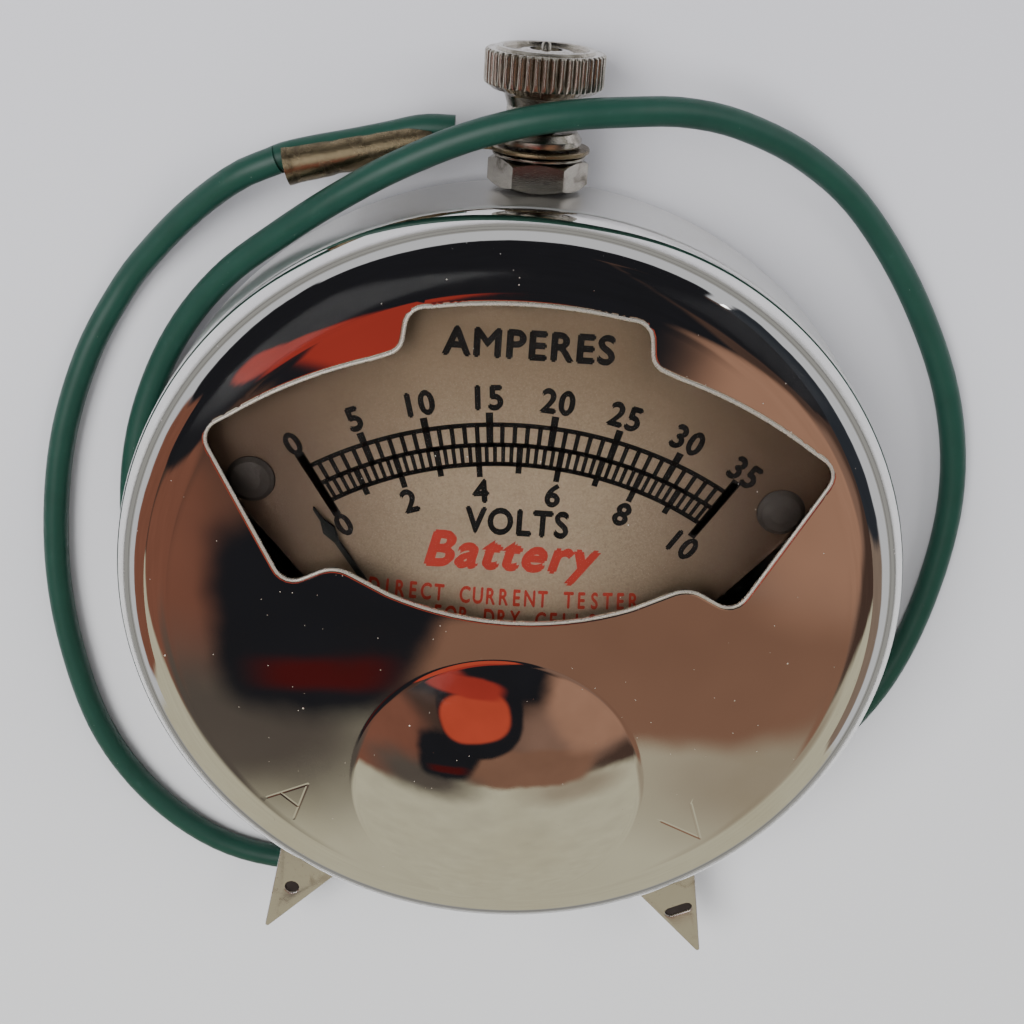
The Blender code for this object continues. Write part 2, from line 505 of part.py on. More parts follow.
def make_post(mats):
    """Stud, nuts, washer, lug and the thumb nut with its clamp collar, stacked along +Y."""
    post = along_y(0, 0, POST_Z)
    bore = STUD_RADIUS + BORE_GAP
    stud = [(0.0, 23.4), (0.8, 23.4), (STUD_RADIUS, 23.7), (STUD_RADIUS, STUD_TIP_Y - 0.5), (0.6, STUD_TIP_Y - 0.1),
            (0.0, STUD_TIP_Y)]
    turned("terminal_stud", stud, mats["brass"], post, 20)
    plate("inner_nut", hexagon(5.0), 25.0, 26.8, mats["brass"], post, holes=[circle(bore, count=20)])
    y = CASE_RADIUS + STACK_GAP
    plate("hex_nut", hexagon(NUT_FLATS, 0.0), y, y + NUT_HEIGHT, mats["nickel"], post, holes=[circle(bore, count=20)])
    y += NUT_HEIGHT + STACK_GAP
    washer = [(bore, y), (3.2, y), (3.2, y + WASHER_SHEET), (bore, y + WASHER_SHEET)]
    turned("washer", washer, mats["nickel"], post, 32)
    y += WASHER_SHEET + STACK_GAP
    make_lug(mats, y, bore)
    y += LUG_SHEET + STACK_GAP
    top = y + COLLAR_HEIGHT
    collar = [(bore, y), (COLLAR_RADIUS, y), (COLLAR_RADIUS, top - 0.45), (COLLAR_RADIUS - 0.45, top), (bore, top)]
    turned("clamp_collar", collar, mats["nickel"], post, 36)
    foot = top + 0.3
    nut = [(bore, foot), (2.75, foot), (WAIST_RADIUS, foot + 0.5), (WAIST_RADIUS, 34.1), (2.6, 34.7), (3.3, 35.3),
           (HEAD_RADIUS, HEAD_BOTTOM_Y), (HEAD_RADIUS, HEAD_TOP_Y - 0.25), (HEAD_RADIUS - 0.8, HEAD_TOP_Y - 0.2),
           (HEAD_RADIUS - 0.95, HEAD_TOP_Y), (bore, HEAD_TOP_Y)]
    turned("thumb_nut", nut, mats["nickel"], post, 36)


def lug_axis():
    """Start, end and unit direction of the lug's barrel."""
    start, end = Vector((-7.0, 31.3, POST_Z)), Vector((-17.4, 28.95, POST_Z))
    return start, end, (end - start).normalized()


def make_lug(mats, y, bore):
    """A ring on the stud, a tongue, and the barrel that holds the lead."""
    ring = arc(0, 0, LUG_RING_RADIUS, -155, 155, 26)
    outline = ring + [(-9.0, 1.0), (-9.0, -1.0)]
    lug = plate("lug", outline, y, y + LUG_SHEET, mats["brass"], along_y(0, 0, POST_Z), holes=[circle(bore, count=20)])
    start, end, along = lug_axis()
    length = (end - start).length
    place = Matrix.Translation(start * MM) @ along.to_track_quat("Z", "Y").to_matrix().to_4x4()
    barrel = [(0.0, 0.0), (0.9, 0.0), (LUG_BARREL_RADIUS, 2.0), (LUG_BARREL_RADIUS, length), (0.0, length)]
    cut(lug, turned("cut_lug_barrel", barrel, mats["brass"], place, 20), "UNION")


def make_lead(mats):
    """The insulated lead and the turned contact on its free end."""
    tube("lead_wire", smooth_route(LEAD_ROUTE, 5.2), WIRE_RADIUS, mats["insulation"])
    last, before = Vector(LEAD_ROUTE[-1]), Vector(LEAD_ROUTE[-2])
    along = (last - before).normalized()
    place = Matrix.Translation((last + along * 0.3) * MM) @ along.to_track_quat("Z", "Y").to_matrix().to_4x4()
    tip = [(0.0, 0.0), (WIRE_RADIUS, 0.0), (WIRE_RADIUS, 3.0), (0.75, 3.4), (0.75, 6.8), (0.2, LEAD_TIP_LENGTH),
           (0.0, LEAD_TIP_LENGTH)]
    turned("lead_tip", tip, mats["nickel"], place, 14)


def main():
    for obj in list(bpy.data.objects):
        bpy.data.objects.remove(obj, do_unlink=True)
    mats = make_materials()
    make_rear_cup(mats)
    make_front_cover(mats)
    make_window(mats)
    make_dial(mats)
    make_pointer_system(mats)
    make_magnet(mats, make_base(mats))
    make_coils(mats)
    make_bearings(mats)
    make_common_strap(mats)
    make_prongs(mats)
    make_post(mats)
    make_lead(mats)


main()
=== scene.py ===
"""Looks of the pocket volt-ammeter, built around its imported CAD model.

Helper lengths are in millimetres in the row's frame, and are turned into metres when a mesh is made.
"""
from math import acos, atan2, cos, degrees, hypot, pi, radians, sin, sqrt

import bmesh
import bpy
from mathutils import Euler, Matrix, Vector
from mathutils.geometry import delaunay_2d_cdt


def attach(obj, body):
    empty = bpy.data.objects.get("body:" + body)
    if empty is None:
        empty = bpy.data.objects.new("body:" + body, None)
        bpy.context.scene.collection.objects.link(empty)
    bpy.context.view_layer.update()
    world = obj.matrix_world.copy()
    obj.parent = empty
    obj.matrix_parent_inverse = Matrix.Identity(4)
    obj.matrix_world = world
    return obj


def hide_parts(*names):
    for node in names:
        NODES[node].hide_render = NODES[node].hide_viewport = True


MM = 0.001
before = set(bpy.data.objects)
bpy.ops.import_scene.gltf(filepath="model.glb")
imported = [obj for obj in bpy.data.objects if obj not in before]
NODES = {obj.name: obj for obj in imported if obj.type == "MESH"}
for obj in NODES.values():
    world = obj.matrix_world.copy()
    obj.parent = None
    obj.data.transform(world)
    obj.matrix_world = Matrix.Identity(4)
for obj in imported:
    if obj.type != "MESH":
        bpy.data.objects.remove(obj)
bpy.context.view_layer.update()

# ---------------------------------------------------------------- dimensions shared with the CAD model
CASE_RADIUS = 28.575
SHOULDER_RADIUS, SHOULDER_Z = 4.5, 11.0
FACE_EDGE = CASE_RADIUS - SHOULDER_RADIUS
FACE_EDGE_Z, FACE_CROWN = 15.5, 0.45
PIVOT_Y, BOSS_RADIUS, BOSS_RISE = -13.63, 10.7, 1.6
DIAL_TOP = 13.35
POST_Z = 4.9
WIRE_RADIUS, FLOOR_WIRE_Z = 0.975, 0.995

LEAD_ROUTE = [
    (-17.75, 29.3, 5.0), (-20.5, 27.95, 4.6), (-23.8, 25.3, 3.2), (-27.0, 22.0, 1.9), (-29.9, 18.3, FLOOR_WIRE_Z),
    (-33.0, 12.6, FLOOR_WIRE_Z), (-35.4, 5.0, FLOOR_WIRE_Z), (-36.4, -4.0, FLOOR_WIRE_Z),
    (-35.8, -12.5, FLOOR_WIRE_Z), (-33.6, -20.9, FLOOR_WIRE_Z), (-29.6, -27.3, FLOOR_WIRE_Z),
    (-24.2, -31.7, FLOOR_WIRE_Z), (-18.4, -33.4, FLOOR_WIRE_Z), (-11.5, -33.2, FLOOR_WIRE_Z),
    (-3.0, -32.4, FLOOR_WIRE_Z), (6.0, -31.8, FLOOR_WIRE_Z), (15.0, -28.9, FLOOR_WIRE_Z),
    (22.5, -23.6, FLOOR_WIRE_Z), (28.2, -17.6, FLOOR_WIRE_Z), (31.9, -11.2, FLOOR_WIRE_Z),
    (33.9, -3.2, FLOOR_WIRE_Z), (34.3, 5.6, FLOOR_WIRE_Z), (32.5, 13.6, FLOOR_WIRE_Z), (28.6, 21.2, FLOOR_WIRE_Z),
    (23.6, 27.6, 1.5), (18.8, 31.3, 2.9), (13.8, 33.6, 5.2), (9.6, 34.6, 7.3), (5.4, 34.65, 9.0), (0.6, 34.1, 9.6),
    (-4.4, 32.6, 9.4), (-9.3, 30.2, 8.7), (-13.6, 27.4, 7.5), (-17.7, 24.2, 5.7), (-21.6, 20.8, 3.9),
    (-25.0, 16.6, 2.3), (-27.6, 11.8, 1.3), (-29.4, 6.3, FLOOR_WIRE_Z), (-30.1, 0.2, FLOOR_WIRE_Z),
    (-29.6, -5.6, FLOOR_WIRE_Z), (-27.9, -11.3, FLOOR_WIRE_Z), (-25.1, -16.6, FLOOR_WIRE_Z),
]


# ---------------------------------------------------------------- shader building
class Shader:
    """One material, with short calls for the nodes that its details need. Coordinates are in millimetres."""

    def __init__(self, name, colour, metallic, roughness, **sockets):
        self.mat = bpy.data.materials.new(name)
        self.mat.use_nodes = True
        self.tree = self.mat.node_tree
        self.bsdf = self.tree.nodes["Principled BSDF"]
        self.bsdf.inputs["Base Color"].default_value = (*colour, 1.0)
        self.bsdf.inputs["Metallic"].default_value = metallic
        self.bsdf.inputs["Roughness"].default_value = roughness
        for key, value in sockets.items():
            self.bsdf.inputs[key.replace("_", " ")].default_value = value
        place = self.tree.nodes.new("ShaderNodeTexCoord")
        scale = self.tree.nodes.new("ShaderNodeMapping")
        scale.inputs["Scale"].default_value = (1000, 1000, 1000)
        self.tree.links.new(place.outputs["Object"], scale.inputs["Vector"])
        self.mm = scale.outputs["Vector"]

    def link(self, value, socket):
        if isinstance(value, bpy.types.NodeSocket):
            self.tree.links.new(value, socket)
        else:
            socket.default_value = value

    def stretched(self, x, y, z, turn=0.0):
        node = self.tree.nodes.new("ShaderNodeMapping")
        node.inputs["Scale"].default_value = (x, y, z)
        node.inputs["Rotation"].default_value = (0, 0, radians(turn))
        self.tree.links.new(self.mm, node.inputs["Vector"])
        return node.outputs["Vector"]

    def noise(self, scale, detail=3.0, rough=0.5, vector=None, distortion=0.0):
        node = self.tree.nodes.new("ShaderNodeTexNoise")
        node.inputs["Scale"].default_value = scale
        node.inputs["Detail"].default_value = detail
        node.inputs["Roughness"].default_value = rough
        node.inputs["Distortion"].default_value = distortion
        self.tree.links.new(vector or self.mm, node.inputs["Vector"])
        return node.outputs["Fac"]

    def specks(self, scale, size, share):
        """Small round dots: 1 inside a dot. share is how many of the cells hold one."""
        node = self.tree.nodes.new("ShaderNodeTexVoronoi")
        node.inputs["Scale"].default_value = scale
        self.tree.links.new(self.mm, node.inputs["Vector"])
        dot = self.ramp(node.outputs["Distance"], size, size * 0.5)
        split = self.tree.nodes.new("ShaderNodeSeparateColor")
        self.tree.links.new(node.outputs["Color"], split.inputs["Color"])
        chosen = self.math("LESS_THAN", split.outputs["Red"], share)
        return self.math("MULTIPLY", dot, chosen)

    def math(self, operation, a, b=0.0):
        node = self.tree.nodes.new("ShaderNodeMath")
        node.operation = operation
        self.link(a, node.inputs[0])
        self.link(b, node.inputs[1])
        return node.outputs["Value"]

    def ramp(self, value, low, high, to_low=0.0, to_high=1.0):
        node = self.tree.nodes.new("ShaderNodeMapRange")
        node.interpolation_type = "SMOOTHSTEP"
        self.link(value, node.inputs["Value"])
        for key, number in (("From Min", low), ("From Max", high), ("To Min", to_low), ("To Max", to_high)):
            node.inputs[key].default_value = number
        return node.outputs["Result"]

    def mix(self, amount, a, b):
        node = self.tree.nodes.new("ShaderNodeMix")
        node.data_type = "RGBA"
        self.link(amount, node.inputs["Factor"])
        colours = [s for s in node.inputs if s.type == "RGBA"]
        for socket, colour in zip(colours, (a, b)):
            self.link(colour if isinstance(colour, bpy.types.NodeSocket) else (*colour, 1.0), socket)
        return [s for s in node.outputs if s.type == "RGBA"][0]

    def axis(self, name):
        node = self.tree.nodes.new("ShaderNodeSeparateXYZ")
        self.tree.links.new(self.mm, node.inputs["Vector"])
        return node.outputs[name]

    def bump(self, height, distance, strength=1.0, normal=None):
        """distance is in millimetres."""
        node = self.tree.nodes.new("ShaderNodeBump")
        node.inputs["Strength"].default_value = strength
        node.inputs["Distance"].default_value = distance * MM
        self.tree.links.new(height, node.inputs["Height"])
        if normal is not None:
            self.tree.links.new(normal, node.inputs["Normal"])
        return node.outputs["Normal"]

    def done(self, colour=None, roughness=None, normal=None, metallic=None):
        for key, value in (("Base Color", colour), ("Roughness", roughness), ("Normal", normal),
                           ("Metallic", metallic)):
            if value is not None:
                self.link(value, self.bsdf.inputs[key])
        return self.mat


def chrome(name, base=(0.80, 0.79, 0.77), polish=0.03, dust=0.09):
    """Polished plate with soft handling smudges, hairlines and a little settled dust."""
    s = Shader(name, base, 1.0, polish)
    haze = s.ramp(s.noise(0.09, 5.0, 0.6), 0.48, 0.75)
    smudge = s.ramp(s.noise(0.5, 6.0, 0.7, distortion=1.5), 0.58, 0.80)
    hairs = s.ramp(s.noise(1.0, 3.0, 0.6, s.stretched(0.25, 9.0, 9.0, 37.0), 2.5), 0.70, 0.80)
    specks = s.math("MAXIMUM", s.specks(0.9, 0.075, dust), s.specks(2.3, 0.10, dust))
    rough = s.math("ADD", s.math("MULTIPLY", haze, 0.04), polish)
    rough = s.math("ADD", rough, s.math("MULTIPLY", smudge, 0.035))
    rough = s.math("ADD", rough, s.math("MULTIPLY", hairs, 0.03))
    rough = s.math("MAXIMUM", rough, s.math("MULTIPLY", specks, 0.6))
    tint = s.mix(haze, base, tuple(c * f for c, f in zip(base, (0.95, 0.94, 0.91))))
    colour = s.mix(specks, tint, (0.70, 0.66, 0.60))
    return s.done(colour, rough, s.bump(specks, 0.02, 0.5))


def bead_material():
    """The window's bare bright edge: rubbed plating that shows pale all round."""
    s = Shader("bead_plate", (0.60, 0.56, 0.49), 0.75, 0.24)
    rub = s.noise(1.6, 5.0, 0.65)
    nick = s.specks(1.2, 0.14, 0.20)
    colour = s.mix(s.ramp(rub, 0.35, 0.70), (0.62, 0.58, 0.51), (0.44, 0.405, 0.35))
    colour = s.mix(s.math("MULTIPLY", nick, 0.6), colour, (0.30, 0.26, 0.22))
    return s.done(colour, s.ramp(rub, 0.3, 0.7, 0.20, 0.36), s.bump(nick, -0.005, 0.5))


def worn_metal(name, bright, dull, roughness, tarnish=0.5, grain=0.02):
    """Plated or bare metal with patchy tarnish, pits and fine tool marks."""
    s = Shader(name, bright, 1.0, roughness)
    patches = s.ramp(s.noise(0.55, 6.0, 0.65, distortion=0.6), 0.62 - 0.3 * tarnish, 0.72)
    pits = s.specks(3.2, 0.16, 0.22)
    marks = s.noise(1.0, 4.0, 0.6, s.stretched(3.0, 3.0, 22.0))
    colour = s.mix(patches, bright, dull)
    colour = s.mix(s.math("MULTIPLY", pits, 0.6), colour, tuple(0.35 * c for c in dull))
    rough = s.math("ADD", s.math("MULTIPLY", patches, 0.14), roughness)
    rough = s.math("ADD", rough, s.math("MULTIPLY", marks, 0.06))
    normal = s.bump(marks, grain, 0.5)
    normal = s.bump(pits, -grain, 0.6, normal)
    return s.done(colour, rough, normal)


def insulation_material():
    """Smooth green insulation with a faint fine grain, rubbed spots and lint."""
    s = Shader("lead_green", (0.005, 0.040, 0.026), 0.0, 0.45, Specular_IOR_Level=0.32)
    cloud = s.noise(0.35, 5.0, 0.6)
    fine = s.noise(9.0, 3.0, 0.6)
    rubbed = s.ramp(s.noise(0.9, 6.0, 0.7), 0.58, 0.78)
    lint = s.specks(2.2, 0.09, 0.06)
    colour = s.mix(cloud, (0.004, 0.031, 0.021), (0.008, 0.050, 0.034))
    colour = s.mix(s.math("MULTIPLY", rubbed, 0.30), colour, (0.025, 0.085, 0.063))
    colour = s.mix(s.math("MULTIPLY", lint, 0.5), colour, (0.25, 0.32, 0.28))
    rough = s.math("ADD", s.math("MULTIPLY", rubbed, 0.15), 0.40)
    normal = s.bump(fine, 0.012, 0.5)
    normal = s.bump(cloud, 0.10, 0.3, normal)
    return s.done(colour, rough, normal)


def dial_material():
    """Champagne lacquer over metal, with a fine sparkle grain. It is darker towards both ends, and towards the top
    it carries a painted shadow of the window's raised top edge.
    """
    s = Shader("dial_lacquer", (0.30, 0.25, 0.19), 0.35, 0.42, Specular_IOR_Level=0.2)
    grain = s.noise(7.0, 5.0, 0.75)
    coarse = s.noise(1.7, 3.0, 0.6)
    stain = s.ramp(s.noise(0.16, 5.0, 0.6), 0.45, 0.75)
    colour = s.mix(s.ramp(grain, 0.30, 0.70), (0.180, 0.128, 0.088), (0.275, 0.205, 0.145))
    colour = s.mix(s.math("MULTIPLY", coarse, 0.30), colour, (0.225, 0.165, 0.112))
    colour = s.mix(s.math("MULTIPLY", stain, 0.25), colour, (0.135, 0.092, 0.060))
    # The two ramps below darken the dial towards both ends, and towards the top as a painted shadow of the window's
    # top edge.
    ends = s.ramp(s.math("ABSOLUTE", s.axis("X")), 2.0, 18.5)
    top = s.ramp(s.axis("Y"), 8.0, 22.0)
    colour = s.mix(s.math("MULTIPLY", ends, 0.95), colour, (0.040, 0.021, 0.014))
    colour = s.mix(s.math("MULTIPLY", top, 0.70), colour, (0.070, 0.040, 0.020))
    rough = s.ramp(grain, 0.25, 0.75, 0.34, 0.55)
    return s.done(colour, rough, s.bump(grain, 0.03, 0.6))


def ink(name, colour):
    """Printed ink, slightly worn so that the lacquer's grain shows in its edges."""
    s = Shader(name, colour, 0.0, 0.6, Specular_IOR_Level=0.06)
    grain = s.noise(8.0, 4.0, 0.7)
    worn = s.mix(s.ramp(grain, 0.62, 0.80), colour, tuple(c * 0.8 + 0.012 for c in colour))
    return s.done(worn, s.ramp(grain, 0.2, 0.8, 0.52, 0.70), s.bump(grain, 0.008, 0.5))


def enamel(name, colour, roughness=0.35):
    """Baked black finish with faint orange peel and bright-worn specks."""
    s = Shader(name, colour, 0.0, roughness, Specular_IOR_Level=0.10)
    peel = s.noise(4.0, 2.0, 0.5)
    worn = s.specks(2.8, 0.10, 0.05)
    tone = s.mix(s.noise(0.8, 4.0, 0.6), colour, tuple(c * 1.9 + 0.004 for c in colour))
    tone = s.mix(s.math("MULTIPLY", worn, 0.4), tone, (0.16, 0.14, 0.12))
    return s.done(tone, s.ramp(peel, 0.3, 0.7, roughness - 0.08, roughness + 0.10), s.bump(peel, 0.02, 0.5))


def fibre_material():
    """Red-brown vulcanised fibre with pressed layers."""
    s = Shader("fibre", (0.16, 0.055, 0.035), 0.0, 0.62)
    layers = s.noise(1.0, 4.0, 0.6, s.stretched(1.5, 1.5, 16.0))
    mottled = s.noise(2.4, 5.0, 0.65)
    colour = s.mix(layers, (0.10, 0.034, 0.022), (0.22, 0.085, 0.05))
    colour = s.mix(s.math("MULTIPLY", mottled, 0.4), colour, (0.13, 0.05, 0.035))
    return s.done(colour, s.ramp(mottled, 0.3, 0.7, 0.52, 0.72), s.bump(layers, 0.03, 0.5))


def winding_material():
    """Enamelled copper wire laid turn beside turn, with painted shade in the grooves between the turns."""
    s = Shader("winding", (0.50, 0.17, 0.07), 0.9, 0.30)
    wave = s.tree.nodes.new("ShaderNodeTexWave")
    wave.bands_direction = "X"
    wave.inputs["Scale"].default_value = 1.4
    wave.inputs["Distortion"].default_value = 0.5
    s.tree.links.new(s.mm, wave.inputs["Vector"])
    turns = wave.outputs["Fac"]
    # Darker between the turns: painted shade in the grooves between the wires.
    colour = s.mix(turns, (0.14, 0.04, 0.02), (0.62, 0.24, 0.10))
    colour = s.mix(s.math("MULTIPLY", s.noise(1.1, 4.0), 0.3), colour, (0.30, 0.09, 0.04))
    return s.done(colour, s.ramp(turns, 0.0, 1.0, 0.45, 0.28), s.bump(turns, 0.12, 0.7))


def glass_material():
    """A thin clear pane with a little dust; the weak tint is that of old glass."""
    s = Shader("pane", (0.97, 0.98, 0.96), 0.0, 0.02, Transmission_Weight=1.0, IOR=1.06)
    dust = s.specks(1.4, 0.07, 0.05)
    smear = s.ramp(s.noise(0.25, 5.0, 0.6), 0.5, 0.8)
    rough = s.math("ADD", s.math("MULTIPLY", smear, 0.03), 0.015)
    rough = s.math("MAXIMUM", rough, s.math("MULTIPLY", dust, 0.4))
    return s.done(s.mix(dust, (0.97, 0.98, 0.96), (0.80, 0.78, 0.74)), rough)


def floor_material():
    s = Shader("pale_floor", (0.60, 0.60, 0.615), 0.0, 0.55, Specular_IOR_Level=0.3)
    cloud = s.noise(0.02, 4.0, 0.5)
    pale = s.mix(cloud, (0.585, 0.585, 0.590), (0.62, 0.62, 0.618))
    # The floor is darker towards +Y: painted shade, the light falling off across it.
    return s.done(s.mix(s.ramp(s.axis("Y"), -60.0, 60.0), pale, (0.520, 0.516, 0.550)), None, s.bump(s.noise(1.5, 4.0), 0.02, 0.3))


MATS = {
    "chrome": chrome("case_chrome"),
    "wall": chrome("wall_chrome", (0.70, 0.695, 0.68), 0.32, 0.06),
    "bead": bead_material(),
    "nickel": worn_metal("nickel_plate", (0.46, 0.43, 0.37), (0.15, 0.125, 0.095), 0.10, 0.50),
    "prong": worn_metal("prong_nickel", (0.62, 0.59, 0.545), (0.42, 0.38, 0.33), 0.20, 0.30),
    "brass": worn_metal("aged_brass", (0.26, 0.205, 0.125), (0.075, 0.062, 0.043), 0.22, 0.55, 0.04),
    "clean_brass": worn_metal("clean_brass", (0.60, 0.43, 0.19), (0.38, 0.26, 0.12), 0.28, 0.35),
    "steel": worn_metal("dull_steel", (0.42, 0.42, 0.41), (0.24, 0.235, 0.23), 0.34, 0.5),
    "magnet": worn_metal("magnet_steel", (0.10, 0.10, 0.11), (0.055, 0.05, 0.05), 0.5, 0.6),
    "copper": worn_metal("copper_strip", (0.60, 0.27, 0.14), (0.32, 0.13, 0.07), 0.30, 0.45),
    "winding": winding_material(),
    "dial": dial_material(),
    "black_ink": ink("black_ink", (0.006, 0.005, 0.005)),
    "red_ink": ink("red_ink", (0.235, 0.024, 0.017)),
    "black": enamel("black_enamel", (0.003, 0.003, 0.003), 0.50),
    "screw": enamel("screw_black", (0.014, 0.0105, 0.009), 0.55),
    "glass": glass_material(),
    "fibre": fibre_material(),
    "insulation": insulation_material(),
}


# ---------------------------------------------------------------- mesh helpers (millimetres in, metres out)
def add(name, mesh, mat, body="case", place=None, replaces=()):
    """Make an object of a mesh, give it a finish, hang it on its body and hide the nodes it stands for."""
    if mat is not None:
        mesh.materials.clear()
        mesh.materials.append(MATS[mat])
    obj = bpy.data.objects.new(name, mesh)
    bpy.context.collection.objects.link(obj)
    if place is not None:
        obj.matrix_world = place
    if replaces:
        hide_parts(*replaces)
    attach(obj, body)
    return obj


def to_mesh(name, bm, smooth=40.0):
    bmesh.ops.recalc_face_normals(bm, faces=bm.faces)
    mesh = bpy.data.meshes.new(name)
    bm.to_mesh(mesh)
    bm.free()
    mesh.shade_smooth()
    mesh.set_sharp_from_angle(angle=radians(smooth))
    return mesh


def at(x=0.0, y=0.0, z=0.0, turn=0.0):
    return Matrix.Translation(Vector((x, y, z)) * MM) @ Matrix.Rotation(radians(turn), 4, "Z")


def along_y(x, y, z):
    return Matrix.Translation(Vector((x, y, z)) * MM) @ Matrix.Rotation(radians(-90), 4, "X")


def rounded(profile, steps=3):
    """Round the corners (radius, height, fillet) of a closed turning outline."""
    points = []
    for k, (x, y, fillet) in enumerate(profile):
        if fillet == 0:
            points.append((x, y))
            continue
        here = Vector((x, y))
        before = (Vector(profile[k - 1][:2]) - here).normalized()
        after = (Vector(profile[(k + 1) % len(profile)][:2]) - here).normalized()
        half = acos(max(-1.0, min(1.0, before.dot(after)))) / 2
        centre = here + (before + after).normalized() * (fillet / sin(half))
        start = here + before * (fillet * cos(half) / sin(half)) - centre
        end = here + after * (fillet * cos(half) / sin(half)) - centre
        first = atan2(start.y, start.x)
        sweep = (atan2(end.y, end.x) - first + pi) % (2 * pi) - pi
        points += [(centre.x + fillet * cos(first + sweep * s / steps),
                    centre.y + fillet * sin(first + sweep * s / steps)) for s in range(steps + 1)]
    return points


def lathe(name, profile, segments=96, shape=None, smooth=40.0):
    """Revolve a closed (radius, height) outline about Z. shape(radius, height, angle) may change the radius."""
    bm = bmesh.new()
    rings = []
    for radius, height in profile:
        if radius < 1e-6:
            rings.append([bm.verts.new((0, 0, height * MM))] * segments)
            continue
        ring = []
        for k in range(segments):
            a = 2 * pi * k / segments
            r = shape(radius, height, a) if shape else radius
            ring.append(bm.verts.new((r * cos(a) * MM, r * sin(a) * MM, height * MM)))
        rings.append(ring)
    for a, b in zip(rings, rings[1:] + rings[:1]):
        for k in range(segments):
            n = (k + 1) % segments
            corners = []
            for vert in (a[k], a[n], b[n], b[k]):
                if vert not in corners:
                    corners.append(vert)
            if len(corners) > 2:
                bm.faces.new(corners)
    return to_mesh(name, bm, smooth)


def slab(name, outline, bottom, top, bevel=0.0, holes=(), smooth=40.0):
    """Extrude a flat outline with holes, and bevel its edges."""
    bm = bmesh.new()
    edges = []
    for loop in (outline, *holes):
        verts = [bm.verts.new((x * MM, y * MM, bottom * MM)) for x, y in loop]
        edges += [bm.edges.new((verts[k - 1], verts[k])) for k in range(len(verts))]
    faces = bmesh.ops.triangle_fill(bm, edges=edges, use_beauty=True, use_dissolve=False)["geom"]
    region = [f for f in faces if isinstance(f, bmesh.types.BMFace)]
    grown = bmesh.ops.extrude_face_region(bm, geom=region)["geom"]
    moved = [v for v in grown if isinstance(v, bmesh.types.BMVert)]
    bmesh.ops.translate(bm, verts=moved, vec=(0, 0, (top - bottom) * MM))
    bmesh.ops.recalc_face_normals(bm, faces=bm.faces)
    if bevel:
        rim = [e for e in bm.edges if e.calc_face_angle(0) > radians(60)
               and abs(e.link_faces[0].normal.z - e.link_faces[1].normal.z) > 0.5]
        bmesh.ops.bevel(bm, geom=rim, offset=bevel * MM, segments=3, profile=0.5, affect="EDGES",
                        clamp_overlap=True)
    return to_mesh(name, bm, smooth)


def circle(radius, x=0.0, y=0.0, count=48):
    return [(x + radius * cos(2 * pi * k / count), y + radius * sin(2 * pi * k / count)) for k in range(count)]


def arc(x, y, radius, start, end, count):
    steps = [radians(start + (end - start) * k / (count - 1)) for k in range(count)]
    return [(x + radius * cos(a), y + radius * sin(a)) for a in steps]


def mirrored(half):
    return half + [(-x, y) for x, y in reversed(half) if x > 1e-9]


def beveled_copy(node, width, segments=2):
    """The CAD node's own mesh with its edges rounded, as a new mesh."""
    bm = bmesh.new()
    bm.from_mesh(NODES[node].data)
    bmesh.ops.remove_doubles(bm, verts=bm.verts, dist=1e-7)
    bmesh.ops.dissolve_limit(bm, angle_limit=radians(1), verts=bm.verts, edges=bm.edges)
    sharp = [e for e in bm.edges if len(e.link_faces) == 2 and e.calc_face_angle(0) > radians(32)]
    bmesh.ops.bevel(bm, geom=sharp, offset=width * MM, segments=segments, profile=0.5, affect="EDGES",
                    clamp_overlap=True)
    bmesh.ops.triangulate(bm, faces=bm.faces)
    return to_mesh(node + "_fine", bm)


def smooth_route(route, spacing):
    """Even points on a Catmull-Rom curve through the route."""
    knots = [Vector(p) for p in route]
    knots = [knots[0] * 2 - knots[1]] + knots + [knots[-1] * 2 - knots[-2]]
    fine = []
    for a, b, c, d in zip(knots, knots[1:], knots[2:], knots[3:]):
        for s in range(20):
            t = s / 20
            fine.append(0.5 * (2 * b + (c - a) * t + (2 * a - 5 * b + 4 * c - d) * t ** 2
                               + (3 * b - a - 3 * c + d) * t ** 3))
    fine.append(knots[-2])
    length = sum((q - p).length for p, q in zip(fine, fine[1:]))
    count = round(length / spacing)
    even, walked, target = [fine[0]], 0.0, length / count
    for p, q in zip(fine, fine[1:]):
        step = (q - p).length
        while walked + step >= target * len(even) and len(even) < count:
            even.append(p.lerp(q, (target * len(even) - walked) / step))
        walked += step
    return even + [fine[-1]]


# ---------------------------------------------------------------- camera, lead
def make_camera():
    """Held close above the binding post and looking down over the dial."""
    cam = bpy.data.cameras.new("camera")
    cam.lens = 50.42
    cam.sensor_width = 36.0
    cam.clip_start = 0.005
    obj = bpy.data.objects.new("camera", cam)
    bpy.context.collection.objects.link(obj)
    forward = Vector((0.0168, -0.4224, -0.9063)).normalized()
    up = Vector((-0.0632, 0.9041, -0.4225)).normalized()
    right = forward.cross(up).normalized()
    up = right.cross(forward)
    turn = Matrix((right, up, -forward)).transposed().to_4x4()
    obj.matrix_world = Matrix.Translation(Vector((-1.924, 49.963, 103.989)) * MM) @ turn
    bpy.context.scene.camera = obj


